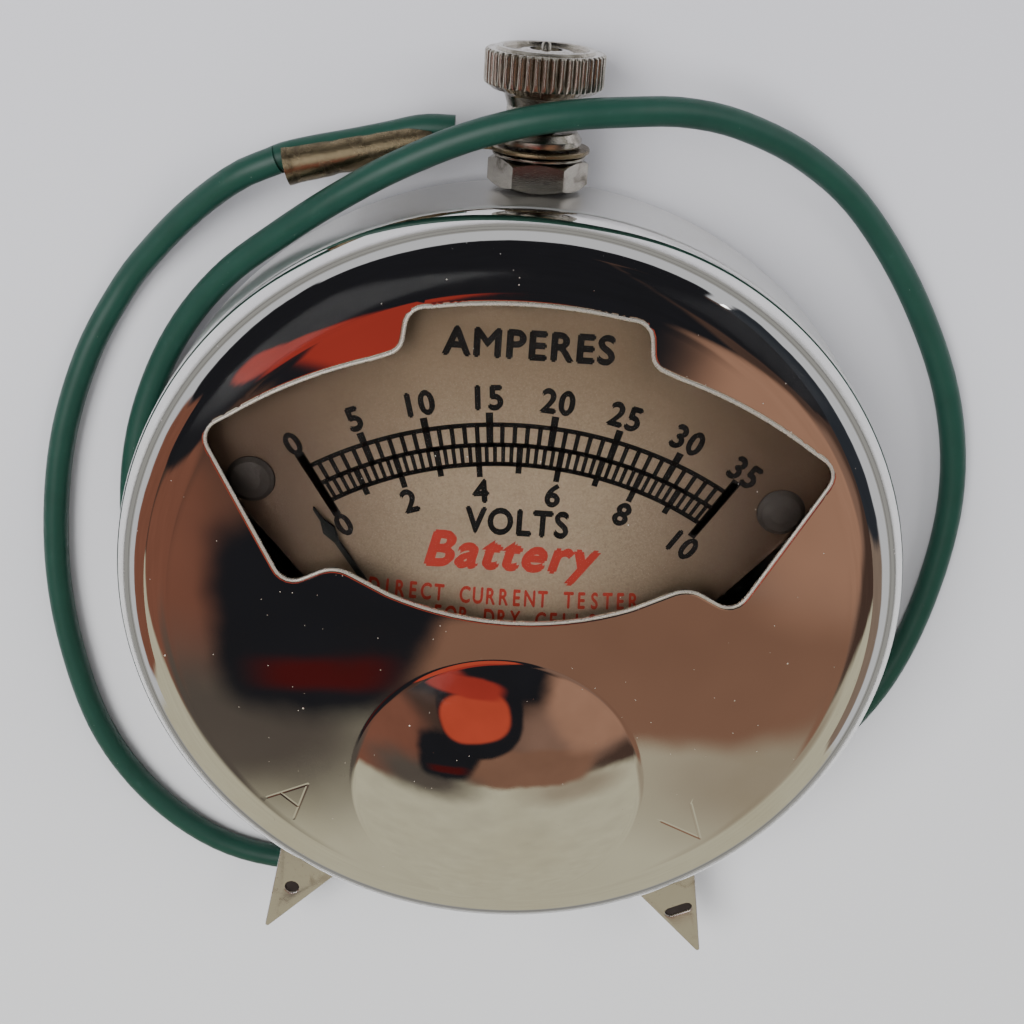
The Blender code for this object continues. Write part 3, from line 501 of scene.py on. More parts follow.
def make_lead():
    points = smooth_route(LEAD_ROUTE, 1.3)
    curve = bpy.data.curves.new("lead", "CURVE")
    curve.dimensions = "3D"
    curve.bevel_depth = WIRE_RADIUS * MM
    curve.bevel_resolution = 7
    curve.resolution_u = 1
    curve.use_fill_caps = True
    spline = curve.splines.new("POLY")
    spline.points.add(len(points) - 1)
    for point, place in zip(spline.points, points):
        point.co = (*(place * MM), 1.0)
    spline.use_smooth = True
    curve.materials.append(MATS["insulation"])
    lead = bpy.data.objects.new("lead", curve)
    bpy.context.collection.objects.link(lead)
    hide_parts("lead_wire")
    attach(lead, "case")

    last, before = Vector(LEAD_ROUTE[-1]), Vector(LEAD_ROUTE[-2])
    along = (last - before).normalized()
    place = Matrix.Translation((last + along * 0.05) * MM) @ along.to_track_quat("Z", "Y").to_matrix().to_4x4()
    tip = [(0, 0, 0), (0.92, 0, 0.1), (0.96, 0.5, 0.1), (0.85, 0.7, 0.08), (0.85, 1.0, 0.08), (0.96, 1.2, 0.1),
           (0.96, 2.9, 0.25), (0.74, 3.3, 0.1), (0.74, 6.8, 0.3), (0.2, 8.1, 0.1), (0, 8.15, 0)]
    contact = add("lead_contact", lathe("lead_contact", rounded(tip), 48), "nickel", "case", place,
                  ["lead_tip"])
    length = sum((q - p).length for p, q in zip(points, points[1:])) * MM
    return length


# ---------------------------------------------------------------- front cover
def window_outline(spacing=0.4):
    """The fan window's edge as even points, counter-clockwise, starting at the top centre."""
    fan, bay, lower = 34.15, 36.93, 22.7
    half = [(0.0, PIVOT_Y + bay, 0)]
    half += [(bay * sin(radians(a)), PIVOT_Y + bay * cos(radians(a)), 0) for a in (2, 4, 6, 8, 10)]
    half += [(7.8, PIVOT_Y + bay - 0.65, 1.3), (8.15, 19.75, 1.3)]
    half += [(fan * sin(radians(a)), PIVOT_Y + fan * cos(radians(a)), 0)
             for a in (17, 19, 21, 23, 25, 27, 29, 31, 33, 34.5)]
    half += [(21.45, 13.2, 1.4), (15.75, 2.1, 1.3), (12.3, 3.95, 2.2)]
    half += [(lower * sin(radians(a)), 0.35 + lower - lower * cos(radians(a)), 0)
             for a in (22, 19, 16, 13, 10, 7, 4, 0)]
    whole = half + [(-x, y, r) for x, y, r in reversed(half) if x > 1e-9]
    loop = [Vector(p) for p in rounded(whole, 8)]
    loop.reverse()
    even = []
    total = sum((loop[k] - loop[k - 1]).length for k in range(len(loop)))
    count = round(total / spacing)
    walked, want = 0.0, 0.0
    for k in range(len(loop)):
        a, b = loop[k - 1], loop[k]
        step = (b - a).length
        while len(even) < count and want <= walked + step:
            even.append(a.lerp(b, (want - walked) / step))
            want += total / count
        walked += step
    return even


def outward(loop, distance):
    """Move a counter-clockwise loop outwards along its own normals."""
    moved = []
    count = len(loop)
    for k, point in enumerate(loop):
        tangent = (loop[(k + 1) % count] - loop[k - 1]).normalized()
        moved.append(point + Vector((tangent.y, -tangent.x)) * distance)
    return moved


# Engraved letters at the prongs, as strokes between points on the face.
LETTER_STROKES = [
    ((-14.06, -14.68), (-17.13, -16.18)), ((-14.06, -14.68), (-15.10, -17.97)), ((-16.1, -15.7), (-14.75, -16.85)),
    ((15.73, -17.58), (12.59, -16.13)), ((15.73, -17.58), (14.67, -14.41)),
]
STROKE_HALF, STROKE_DEPTH = 0.10, 0.022
EDGE_ROLL, BEAD_RADIUS = 0.30, 0.115


def stroke_distance(x, y):
    best = 9.0
    for (ax, ay), (bx, by) in LETTER_STROKES:
        dx, dy = bx - ax, by - ay
        t = max(0.0, min(1.0, ((x - ax) * dx + (y - ay) * dy) / (dx * dx + dy * dy)))
        best = min(best, hypot(x - ax - t * dx, y - ay - t * dy))
    return best


def cover_height(x, y):
    """Outer surface of the cover over a point: crowned face, rounded shoulder, round boss, engraving."""
    r = hypot(x, y)
    if r <= FACE_EDGE:
        z = FACE_EDGE_Z + FACE_CROWN * (1 - (r / FACE_EDGE) ** 2)
    else:
        z = SHOULDER_Z + sqrt(max(0.0, SHOULDER_RADIUS ** 2 - (r - FACE_EDGE) ** 2))
    rb = hypot(x, y - PIVOT_Y)
    soft = 0.3
    if rb < BOSS_RADIUS - soft:
        z += BOSS_RISE * (1 - (rb / BOSS_RADIUS) ** 2)
    elif rb < BOSS_RADIUS + soft:
        edge = BOSS_RISE * (1 - ((BOSS_RADIUS - soft) / BOSS_RADIUS) ** 2)
        z += edge * ((BOSS_RADIUS + soft - rb) / (2 * soft)) ** 2
    z -= STROKE_DEPTH * max(0.0, 1 - stroke_distance(x, y) / STROKE_HALF)
    return z


def make_front_cover():
    """Fine-meshed cover: the window's rolled edge, the boss's crease and the letters are real shape."""
    window = window_outline()
    count = len(window)
    rolls = [0.0, 0.03, 0.08, 0.15, 0.22, EDGE_ROLL]
    points, edges = [], []

    def ring(loop, link=False):
        start = len(points)
        points.extend(Vector((p[0], p[1])) for p in loop)
        if link:
            edges.extend((start + k, start + (k + 1) % len(loop)) for k in range(len(loop)))

    for d in rolls:
        ring(outward(window, d), d in (0.0, EDGE_ROLL))
    rim_radius, sectors = 24.9, 288
    ring(circle(rim_radius, count=sectors), True)
    for radius in (24.5, FACE_EDGE, 23.7):
        ring(circle(radius, count=sectors))
    for radius in (9.4, 9.9, 10.25, 10.4, 10.55, 10.7, 10.85, 11.0, 11.3):
        ring([p for p in circle(radius, 0, PIVOT_Y, 180) if hypot(*p) < 23.6])
    for (ax, ay), (bx, by) in LETTER_STROKES:
        along = Vector((bx - ax, by - ay)).normalized()
        side = Vector((-along.y, along.x))
        for offset in (-1.4, -1.0, -0.5, 0.0, 0.5, 1.0, 1.4):
            a = Vector((ax, ay)) + side * offset * STROKE_HALF - along * STROKE_HALF
            b = Vector((bx, by)) + side * offset * STROKE_HALF + along * STROKE_HALF
            ring([a.lerp(b, t / 20) for t in range(21)])
    wide = outward(window, 0.9)
    pitch = 0.8
    for row in range(-32, 33):
        for col in range(-32, 33):
            x, y = (col + 0.5 * (row % 2)) * pitch, row * pitch * 0.9
            near_boss = 9.1 < hypot(x, y - PIVOT_Y) < 11.6
            if hypot(x, y) < 23.4 and not near_boss and stroke_distance(x, y) > 0.5 and not inside(wide, x, y):
                points.append(Vector((x, y)))
    verts, _, faces, origin, _, _ = delaunay_2d_cdt(points, edges, [], 0, 1e-5)

    coords, normals = [], []
    for v, sources in zip(verts, origin):
        number = min(sources) if sources else len(points)
        lowered = 0.0
        normal = cover_normal(v.x, v.y)
        if number < count * (len(rolls) - 1):
            d, k = rolls[number // count], number % count
            slope = (EDGE_ROLL - d) / EDGE_ROLL
            lowered = EDGE_ROLL - sqrt(EDGE_ROLL ** 2 - (EDGE_ROLL - d) ** 2)
            tangent = (window[(k + 1) % count] - window[k - 1]).normalized()
            normal = Vector((-tangent.y * slope, tangent.x * slope, sqrt(1 - slope * slope)))
        coords.append(Vector((v.x, v.y, cover_height(v.x, v.y) - lowered)))
        normals.append(normal)
    top = []
    for face in faces:
        centre = sum((verts[i] for i in face), Vector((0, 0))) / len(face)
        if centre.length < rim_radius and not inside(window, centre.x, centre.y):
            top.append(list(face))
    rim = sorted((k for k, v in enumerate(verts) if abs(v.length - rim_radius) < 1e-3),
                 key=lambda k: atan2(verts[k].y, verts[k].x))
    below = acos((rim_radius - FACE_EDGE) / SHOULDER_RADIUS)
    steps = 20
    for s in range(1, steps + 1):
        a = below + (radians(5) - below) * s / steps
        ring_start = len(coords)
        for k in rim:
            way = Vector((verts[k].x, verts[k].y)).normalized()
            r = FACE_EDGE + SHOULDER_RADIUS * cos(a)
            coords.append(Vector((way.x * r, way.y * r, SHOULDER_Z + SHOULDER_RADIUS * sin(a))))
            normals.append(Vector((way.x * cos(a), way.y * cos(a), sin(a))))
        lower = list(range(ring_start, ring_start + len(rim)))
        upper = rim if s == 1 else list(range(ring_start - len(rim), ring_start))
        top += [[upper[k], lower[k], lower[(k + 1) % len(rim)], upper[(k + 1) % len(rim)]] for k in range(len(rim))]
    skin = len(coords)
    coords += [c - n * 0.55 for c, n in zip(coords, normals)]
    bottom = [[i + skin for i in reversed(face)] for face in top]
    seen = {}
    for face in top:
        for a, b in zip(face, face[1:] + face[:1]):
            seen[(a, b)] = True
    walls = [[b, a, a + skin, b + skin] for a, b in seen if (b, a) not in seen]
    mesh = bpy.data.meshes.new("cover")
    mesh.from_pydata([c * MM for c in coords], [], top + bottom + walls)
    mesh.validate()
    mesh.shade_smooth()
    split = []
    for number, polygon in enumerate(mesh.polygons):
        for index in polygon.vertices:
            if number < len(top):
                split.append(normals[index])
            elif number < len(top) + len(bottom):
                split.append(-normals[index - skin])
            else:
                split.append(polygon.normal.copy())
    mesh.normals_split_custom_set(split)
    add("cover", mesh, "chrome", "case", None, ["front_cover"])
    make_bead(window)


def make_bead(window):
    """The hemmed edge that stands round the window."""
    bm = bmesh.new()
    centre, middle = outward(window, 0.045), outward(window, 0.345)
    rings = []
    for near, far in zip(centre, middle):
        way = (far - near).normalized()
        z = cover_height(near.x, near.y) - 0.01
        ring = []
        for k in range(16):
            a = 2 * pi * k / 16
            spot = (near.x + way.x * BEAD_RADIUS * cos(a), near.y + way.y * BEAD_RADIUS * cos(a), z + BEAD_RADIUS * sin(a))
            ring.append(bm.verts.new(Vector(spot) * MM))
        rings.append(ring)
    for a, b in zip(rings, rings[1:] + rings[:1]):
        for k in range(16):
            bm.faces.new((a[k - 1], b[k - 1], b[k], a[k]))
    add("window_bead", to_mesh("window_bead", bm, 60), "bead")


def inside(loop, x, y):
    hit = False
    for k in range(len(loop)):
        a, b = loop[k - 1], loop[k]
        if (a.y > y) != (b.y > y) and x < (b.x - a.x) * (y - a.y) / (b.y - a.y) + a.x:
            hit = not hit
    return hit


def cover_normal(x, y):
    h = 0.02
    slope_x = (cover_height(x + h, y) - cover_height(x - h, y)) / (2 * h)
    slope_y = (cover_height(x, y + h) - cover_height(x, y - h)) / (2 * h)
    return Vector((-slope_x, -slope_y, 1)).normalized()


# ---------------------------------------------------------------- case
def make_cup():
    """Back and wall in one drawing, with a small roll at the open edge and the lip inside the cover."""
    profile = rounded([(0, 0, 0), (24.5, 0, 0), (CASE_RADIUS, 0.02, 3.0), (CASE_RADIUS, 10.95, 0.18),
                       (27.35, 10.95, 0.05), (27.35, 12.4, 0.1), (26.75, 12.4, 0.1), (26.75, 9.9, 0.2),
                       (27.75, 9.2, 0.2), (27.75, 0.82, 2.2), (0, 0.82, 0)], 8)
    add("cup", lathe("cup", profile, 288, smooth=50), "wall", "case", None, ["rear_cup"])


def make_prongs():
    for side, label in ((-1, "a"), (1, "v")):
        add("prong_plate_" + label, beveled_copy("prong_" + label, 0.14, 3), "prong", "case", None,
            ["prong_" + label])
        turn = at(0, 0, POST_Z, -90 + side * 26.9)
        # A dark plug in each prong's hole: painted shade, the shadow seen through the hole.
        hole = circle(0.62) if side < 0 else arc(0, -0.8, 0.44, -180, 0, 9) + arc(0, 0.8, 0.44, 0, 180, 9)
        add("prong_hole_shade_" + label, slab("prong_hole_shade_" + label, hole, -0.3, 0.12, 0.05), "screw", "case",
            turn @ Matrix.Translation((0.0372, 0, 0)))
        add("prong_block_" + label, beveled_copy("prong_insulator_" + label, 0.22, 3), "fibre", "case", None,
            ["prong_insulator_" + label])


# ---------------------------------------------------------------- dial
def make_printing():
    """Scales, numerals and words as thin ink on the dial plate."""
    ink_z = DIAL_TOP + 0.004
    start, end = -31.4, 31.4
    bm = bmesh.new()

    def spot(r, degrees_):
        a = radians(degrees_)
        return (r * sin(a) * MM, (PIVOT_Y + r * cos(a)) * MM, ink_z * MM)

    def band(inner, outer, from_a, to_a, count=1):
        for k in range(count):
            a = from_a + (to_a - from_a) * k / count
            b = from_a + (to_a - from_a) * (k + 1) / count
            bm.faces.new([bm.verts.new(spot(inner, a)), bm.verts.new(spot(inner, b)),
                          bm.verts.new(spot(outer, b)), bm.verts.new(spot(outer, a))])

    def tick(inner, outer, angle, width):
        half = degrees(width / 2 / 26.0)
        band(inner, outer, angle - half, angle + half)

    for radius in (27.86, 26.39, 24.97):
        band(radius - 0.17, radius + 0.17, start, end, 96)
    for amp in range(36):
        angle = start + (end - start) * amp / 35
        if amp % 5 == 0:
            tick(26.2, 28.75, angle, 0.46)
        else:
            tick(26.3, 27.9, angle, 0.30)
    for fifth in range(51):
        angle = start + (end - start) * fifth / 50
        if fifth % 5 == 0:
            tick(24.0 if fifth % 10 == 0 else 24.3, 26.5, angle, 0.44)
        else:
            tick(24.9, 26.4, angle, 0.28)
    for angle in (start, end):
        tick(23.8, 29.0, angle, 0.62)
    mesh = bpy.data.meshes.new("scale_lines")
    bmesh.ops.recalc_face_normals(bm, faces=bm.faces)
    bm.to_mesh(mesh)
    bm.free()
    add("scale_lines", mesh, "black_ink")
    for amp in range(0, 36, 5):
        angle = start + (end - start) * amp / 35
        lettering("amps_%d" % amp, str(amp), 1.85, 29.8, angle, "black_ink", 0.042)
    for volt in range(0, 11, 2):
        angle = start + (end - start) * volt / 10
        lettering("volts_%d" % volt, str(volt), 1.85, 22.95, angle, "black_ink", 0.042)
    flat_text("word_amperes", "AMPERES", (0.1, 19.95), 11.5, 2.15, "black_ink", 0.040)
    flat_text("word_volts", "VOLTS", (0.15, 6.95), 7.3, 2.15, "black_ink", 0.040)
    flat_text("word_battery", "Battery", (0.0, 4.13), 12.5, 3.8, "red_ink", 0.045, 0.25)
    small_line("red_upper", "DIRECT CURRENT TESTER", -0.4, 0.97)
    small_line("red_lower", "FOR DRY CELLS", 0.5, -0.75)


INK_STEP = 0.002


def text_mesh(name, words, bold, shear=0.0):
    """Filled letters about one unit high; five slightly shifted copies make them bold."""
    curve = bpy.data.curves.new(name, "FONT")
    curve.body = words
    curve.align_x = "CENTER"
    curve.align_y = "CENTER"
    curve.shear = shear
    curve.space_character = 1.12
    curve.resolution_u = 4
    obj = bpy.data.objects.new(name, curve)
    bpy.context.collection.objects.link(obj)
    bpy.context.view_layer.update()
    mesh = bpy.data.meshes.new_from_object(obj.evaluated_get(bpy.context.evaluated_depsgraph_get()))
    bpy.data.objects.remove(obj)
    bm = bmesh.new()
    for level, (x, y) in enumerate(((bold, 0), (-bold, 0), (0, bold), (0, -bold), (0, 0))):
        shift = Vector((x, y, level * INK_STEP))
        mesh.transform(Matrix.Translation(shift))
        bm.from_mesh(mesh)
        mesh.transform(Matrix.Translation(-shift))
    bm.to_mesh(mesh)
    bm.free()
    xs, ys = [v.co.x for v in mesh.vertices], [v.co.y for v in mesh.vertices]
    middle = Vector(((min(xs) + max(xs)) / 2, (min(ys) + max(ys)) / 2, 0))
    mesh.transform(Matrix.Translation(-middle))
    return mesh, max(xs) - min(xs), max(ys) - min(ys)


def lettering(name, words, height, radius, angle, mat, offset):
    """Words centred on a radius from the pointer's axis, standing along it."""
    mesh, width, tall = text_mesh(name, words, offset)
    size = height / tall * MM
    mesh.transform(Matrix.Diagonal((size * 0.92, size, MM, 1)))
    mesh.transform(Matrix.Translation((0, radius * MM, 0)))
    place = Matrix.Translation((0, PIVOT_Y * MM, (DIAL_TOP + 0.005) * MM)) @ Matrix.Rotation(radians(-angle), 4, "Z")
    mesh.transform(place)
    add(name, mesh, mat)


def flat_text(name, words, centre, wide, high, mat, offset, shear=0.0):
    mesh, width, tall = text_mesh(name, words, offset, shear)
    mesh.transform(Matrix.Diagonal((wide / width * MM, high / tall * MM, MM, 1)))
    mesh.transform(Matrix.Translation((centre[0] * MM, centre[1] * MM, (DIAL_TOP + 0.005) * MM)))
    add(name, mesh, mat)


def small_line(name, words, x, y):
    """Small print along the window's lower edge, on a curve whose centre is far above the dial."""
    for number, letter in enumerate(words):
        if letter == " ":
            continue
        along = (number - (len(words) - 1) / 2) * 0.93
        mesh = text_mesh(name, letter, 0.03)[0]
        mesh.transform(Matrix.Diagonal((1.15 * MM, 1.85 * MM, MM, 1)))
        place = Vector((x + along, y + along ** 2 / 280, DIAL_TOP + 0.005)) * MM
        mesh.transform(Matrix.Translation(place) @ Matrix.Rotation(along / 140, 4, "Z"))
        add("%s_%d" % (name, number), mesh, "red_ink")


def make_dial_screws():
    """Round-headed screws, blackened."""
    for side, label in ((-1, "left"), (1, "right")):
        z = DIAL_TOP + 0.03
        head = rounded([(0, z - 0.02, 0), (1.7, z - 0.02, 0.05), (1.66, z + 0.12, 0.08), (1.35, z + 0.34, 0.3),
                        (0.7, z + 0.48, 0.4), (0, z + 0.51, 0)], 4)
        mesh = lathe("dial_screw_head_" + label, head, 64)
        add("dial_screw_head_" + label, mesh, "screw", "case", at(side * 18.4, 9.05),
            ["dial_screw_" + label])


# ---------------------------------------------------------------- binding post
def make_post():
    post = along_y(0, 0, POST_Z)
    bore = 1.1

    def knurl(radius, height, angle):
        if radius < 3.7 or not 35.4 < height < 37.7:
            return radius
        ridge = 0.5 + 0.5 * cos(44 * angle)
        edge = min(1.0, (height - 35.4) / 0.25, (37.7 - height) / 0.2)
        return radius - 0.30 * (1 - ridge ** 0.35) * edge

    foot = 32.86
    nut = rounded([(bore, foot, 0.1), (2.7, foot, 0.2), (2.4, foot + 0.6, 0.3), (2.4, 34.1, 0.3), (2.65, 34.8, 0.3),
                   (3.25, 35.25, 0.15), (3.8, 35.37, 0.1)], 4)
    nut += [(4.0, 35.45), (4.05, 35.57), (4.05, 35.9), (4.05, 36.4), (4.05, 37.0), (4.05, 37.4), (4.03, 37.54),
            (3.9, 37.64), (3.7, 37.66), (3.4, 37.66), (3.33, 37.76), (3.27, 37.83), (3.05, 37.85), (2.9, 37.8),
            (2.8, 37.62), (1.9, 37.56), (1.5, 37.7), (bore, 37.72)]
    add("thumb_head", lathe("thumb_head", nut, 528, knurl, 32), "nickel", "thumb", post, ["thumb_nut"])

    collar = rounded([(bore, 31.59, 0.05), (2.85, 31.59, 0.06), (2.85, 32.02, 0.12), (2.75, 32.15, 0.1),
                      (2.5, 32.5, 0.12), (2.2, 32.52, 0.1), (bore, 32.52, 0.05)], 3)
    add("collar", lathe("collar", collar, 96), "nickel", "clamp", post, ["clamp_collar"])

    washer = rounded([(bore, 30.78, 0.04), (3.2, 30.78, 0.06), (3.2, 30.97, 0.06), (bore, 30.97, 0.04)], 3)
    add("washer_ring", lathe("washer_ring", washer, 96), "nickel", "case", post, ["washer"])
    make_hex_nut(post)

    def thread(radius, height, angle):
        if radius < 1.0 or height < 32.3:
            return radius
        return radius - 0.13 * (0.5 + 0.5 * cos(2 * pi * height / 0.42 - angle))

    stud = [(0, 23.4), (0.8, 23.4), (1.05, 23.7), (1.05, 32.3)] + [(1.05, 32.3 + 0.07 * k) for k in range(1, 72)]
    stud += [(0.8, 37.5), (0.35, 37.62), (0.3, 38.05), (0.2, 38.2), (0, 38.24)]
    add("stud", lathe("stud", stud, 48, thread), "nickel", "case", post, ["terminal_stud"])


def make_hex_nut(post):
    """Six flats with turned chamfers on both ends, as heights that fall off outside the chamfer circle."""
    y0, y1, flats, bore = 28.73, 30.62, 6.0, 1.15
    bm = bmesh.new()
    sectors, rings = 180, []

    def edge_radius(a):
        across = a % radians(60) - radians(30)
        return flats / 2 / cos(across)

    def chamfer(r):
        return max(0.0, r - 2.98) * 0.55

    levels = []
    for end, sign in ((y1, -1), (y0, 1)):
        order = [(bore, 0.0), (bore + 0.12, 0.0), (2.0, 0.0), (2.75, 0.0), (None, 0.45), (None, 0.8), (None, 1.0)]
        levels.append((end, sign, order if sign < 0 else order[::-1]))
    for end, sign, order in levels:
        for radius, share in order:
            ring = []
            for k in range(sectors):
                a = 2 * pi * k / sectors
                full = edge_radius(a) - 0.02
                r = radius if radius is not None else 2.85 + (full - 2.85) * share
                y = end + sign * chamfer(r)
                if radius is not None and radius < bore + 0.05:
                    y += sign * 0.1
                ring.append(bm.verts.new((r * cos(a) * MM, r * sin(a) * MM, y * MM)))
            rings.append(ring)
    for a, b in zip(rings, rings[1:] + rings[:1]):
        for k in range(sectors):
            bm.faces.new((a[k], a[(k + 1) % sectors], b[(k + 1) % sectors], b[k]))
    add("hex_body", to_mesh("hex_body", bm, 24), "nickel", "case", post, ["hex_nut"])


def make_lug():
    """A stamped lug: ring, tongue, and an open barrel folded round the lead."""
    post = along_y(0, 0, POST_Z)
    ring = arc(0, 0, 3.45, -158, 158, 60) + [(-5.2, 1.05), (-8.2, 0.95), (-8.2, -0.95), (-5.2, -1.05)]
    add("lug_ring", slab("lug_ring", ring, 31.13, 31.42, 0.08, [circle(1.12)]), "brass", "case", post,
        ["lug"])
    start, end = Vector((-7.2, 31.45, POST_Z)), Vector((-17.2, 28.95, POST_Z))
    along = (end - start).normalized()
    sideways = Vector((0, 0, 1)).cross(along).normalized()
    upward = Vector((0, 0, 1))
    length = (end - start).length
    bm = bmesh.new()
    steps, around, sheet = 44, 30, 0.30
    grid = []
    for s in range(steps + 1):
        t = s / steps
        radius = 0.98 + 0.38 * t ** 0.6
        radius += 0.06 * min(1.0, max(0.0, (t - 0.94) / 0.04))
        dent = 0.08 * sum(max(0.0, 1 - ((t - place) / 0.05) ** 2) for place in (0.42, 0.66))
        low, high = radians(236), radians(360 + 154 - 30 * max(0.0, 0.15 - t) / 0.15)
        row = []
        for layer in (radius, radius - sheet):
            for k in range(around + 1):
                a = low + (high - low) * k / around
                r = layer - dent * (0.5 + 0.5 * cos(2 * a))
                spot = start + along * (length * t) + sideways * (r * cos(a)) + upward * (r * sin(a))
                row.append(bm.verts.new(spot * MM))
        grid.append(row)
    wide = around + 1
    for a, b in zip(grid, grid[1:]):
        for k in range(around):
            bm.faces.new((a[k], a[k + 1], b[k + 1], b[k]))
            bm.faces.new((a[wide + k + 1], a[wide + k], b[wide + k], b[wide + k + 1]))
        bm.faces.new((a[0], b[0], b[wide], a[wide]))
        bm.faces.new((a[wide - 1], a[2 * wide - 1], b[2 * wide - 1], b[wide - 1]))
    for row in (grid[0], grid[-1]):
        for k in range(around):
            bm.faces.new((row[k], row[k + 1], row[wide + k + 1], row[wide + k]))
    add("lug_barrel", to_mesh("lug_barrel", bm, 45), "brass", "case")

    route = [(-20.0, 28.2, 4.67), (-18.7, 28.84, 4.84), (-17.4, 29.5, 4.75), (-15.2, 30.1, 4.5),
             (-12.6, 30.72, 4.45), (-10.2, 31.35, 4.45), (-7.9, 31.97, 4.5), (-5.8, 32.05, 4.5)]
    curve = bpy.data.curves.new("lead_stub", "CURVE")
    curve.dimensions = "3D"
    curve.bevel_depth = 0.94 * MM
    curve.bevel_resolution = 6
    curve.resolution_u = 1
    curve.use_fill_caps = True
    spline = curve.splines.new("POLY")
    points = smooth_route(route, 0.6)
    spline.points.add(len(points) - 1)
    for point, place in zip(spline.points, points):
        point.co = (*(place * MM), 1.0)
    spline.use_smooth = True
    curve.materials.append(MATS["insulation"])
    stub = bpy.data.objects.new("lead_stub", curve)
    bpy.context.collection.objects.link(stub)
    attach(stub, "case")


# ---------------------------------------------------------------- finishes of the carried-over nodes
def finish_nodes():
    plan = {
        "dial": ["dial_plate"],
        "black": ["pointer"],
        "glass": ["crystal"],
        "fibre": ["crystal_spacer", "coil_bobbin", "magnet_block_left", "magnet_block_right"],
        "winding": ["amps_winding", "volts_winding"],
        "copper": ["common_strap", "coil_lead_a", "coil_lead_v"],
        "magnet": ["magnet"],
        "steel": ["staff", "iron_vane", "base_plate", "base_screw_1", "base_screw_2", "base_screw_3", "base_screw_4",
                  "magnet_screw_left", "magnet_screw_right", "bridge_screw_left", "bridge_screw_right"],
        "clean_brass": ["inner_nut", "dial_pillar_left", "dial_pillar_right", "stop_pin_zero",
                        "stop_pin_full", "pointer_hub", "balance_weight", "magnet_clamp", "magnet_sleeve_left",
                        "magnet_sleeve_right", "bridge", "bridge_pillar_left", "bridge_pillar_right",
                        "lower_bearing_screw", "upper_bearing_screw", "bearing_lock_nut"],
    }
    for mat, names in plan.items():
        for name in names:
            slots = NODES[name].material_slots
            if not slots:
                NODES[name].data.materials.append(MATS[mat])
            for slot in NODES[name].material_slots:
                slot.material = MATS[mat]


# ---------------------------------------------------------------- studio
def card(name, centre, width, height, colour, soft=0.3, turn=(0, 0, 0), corner=4.0, wave=0.012, hole=0.0):
    """A glowing panel with soft wavy edges that only shows in reflections. Sizes in metres, turns in degrees."""
    mat = bpy.data.materials.new(name)
    mat.use_nodes = True
    tree = mat.node_tree
    tree.nodes.clear()

    def node(kind, *values, **settings):
        made = tree.nodes.new("ShaderNode" + kind)
        for key, value in settings.items():
            setattr(made, key, value)
        for socket, value in zip(made.inputs, values):
            if isinstance(value, bpy.types.NodeSocket):
                tree.links.new(value, socket)
            elif value is not None:
                socket.default_value = value
        return made

    def math(operation, *values):
        return node("Math", *values, operation=operation).outputs[0]

    place = node("TexCoord").outputs["Object"]
    noise = node("TexNoise", place, None, 22.0, 3.0)
    centred = node("VectorMath", noise.outputs["Color"], (0.5, 0.5, 0.5), operation="SUBTRACT").outputs[0]
    moved = node("VectorMath", centred, (wave * 2, wave * 2, 0.0), place, operation="MULTIPLY_ADD").outputs[0]
    split = node("SeparateXYZ", moved)
    across = math("POWER", math("DIVIDE", math("ABSOLUTE", split.outputs["X"]), width / 2), corner)
    up = math("POWER", math("DIVIDE", math("ABSOLUTE", split.outputs["Y"]), height / 2), corner)
    reach = math("POWER", math("ADD", across, up), 1 / corner)
    mask = node("MapRange", reach, 1.0, 1.0 - soft, interpolation_type="SMOOTHSTEP").outputs[0]
    opening = node("MapRange", reach, hole - soft / 2, hole + 0.001, interpolation_type="SMOOTHSTEP").outputs[0]
    mask = math("MULTIPLY", mask, opening)
    shade = node("MapRange", node("TexNoise", place, None, 30.0, 2.0).outputs[0], 0.3, 0.7, 0.93, 1.05).outputs[0]
    glow = node("Emission", (*colour, 1.0), shade).outputs[0]
    blend = node("MixShader", mask, node("BsdfTransparent").outputs[0], glow)
    node("OutputMaterial", blend.outputs[0])
    mesh = bpy.data.meshes.new(name)
    x, y = width / 2 + wave, height / 2 + wave
    mesh.from_pydata([(-x, -y, 0), (x, -y, 0), (x, y, 0), (-x, y, 0)], [], [(0, 3, 2, 1)])
    mesh.materials.append(mat)
    obj = bpy.data.objects.new(name, mesh)
    bpy.context.collection.objects.link(obj)
    obj.matrix_world = Matrix.Translation(centre) @ Euler([radians(t) for t in turn]).to_matrix().to_4x4()
    obj.visible_camera = False
    obj.visible_shadow = False
    obj.visible_diffuse = False
    obj.visible_transmission = False


def lamp(name, place, aim, size, power, colour=(1, 1, 1)):
    light = bpy.data.lights.new(name, "AREA")
    light.shape = "RECTANGLE"
    light.size, light.size_y = size
    light.energy = power
    light.color = colour
    obj = bpy.data.objects.new(name, light)
    bpy.context.collection.objects.link(obj)
    look = (Vector(aim) - Vector(place)).normalized()
    obj.matrix_world = Matrix.Translation(place) @ look.to_track_quat("-Z", "Y").to_matrix().to_4x4()


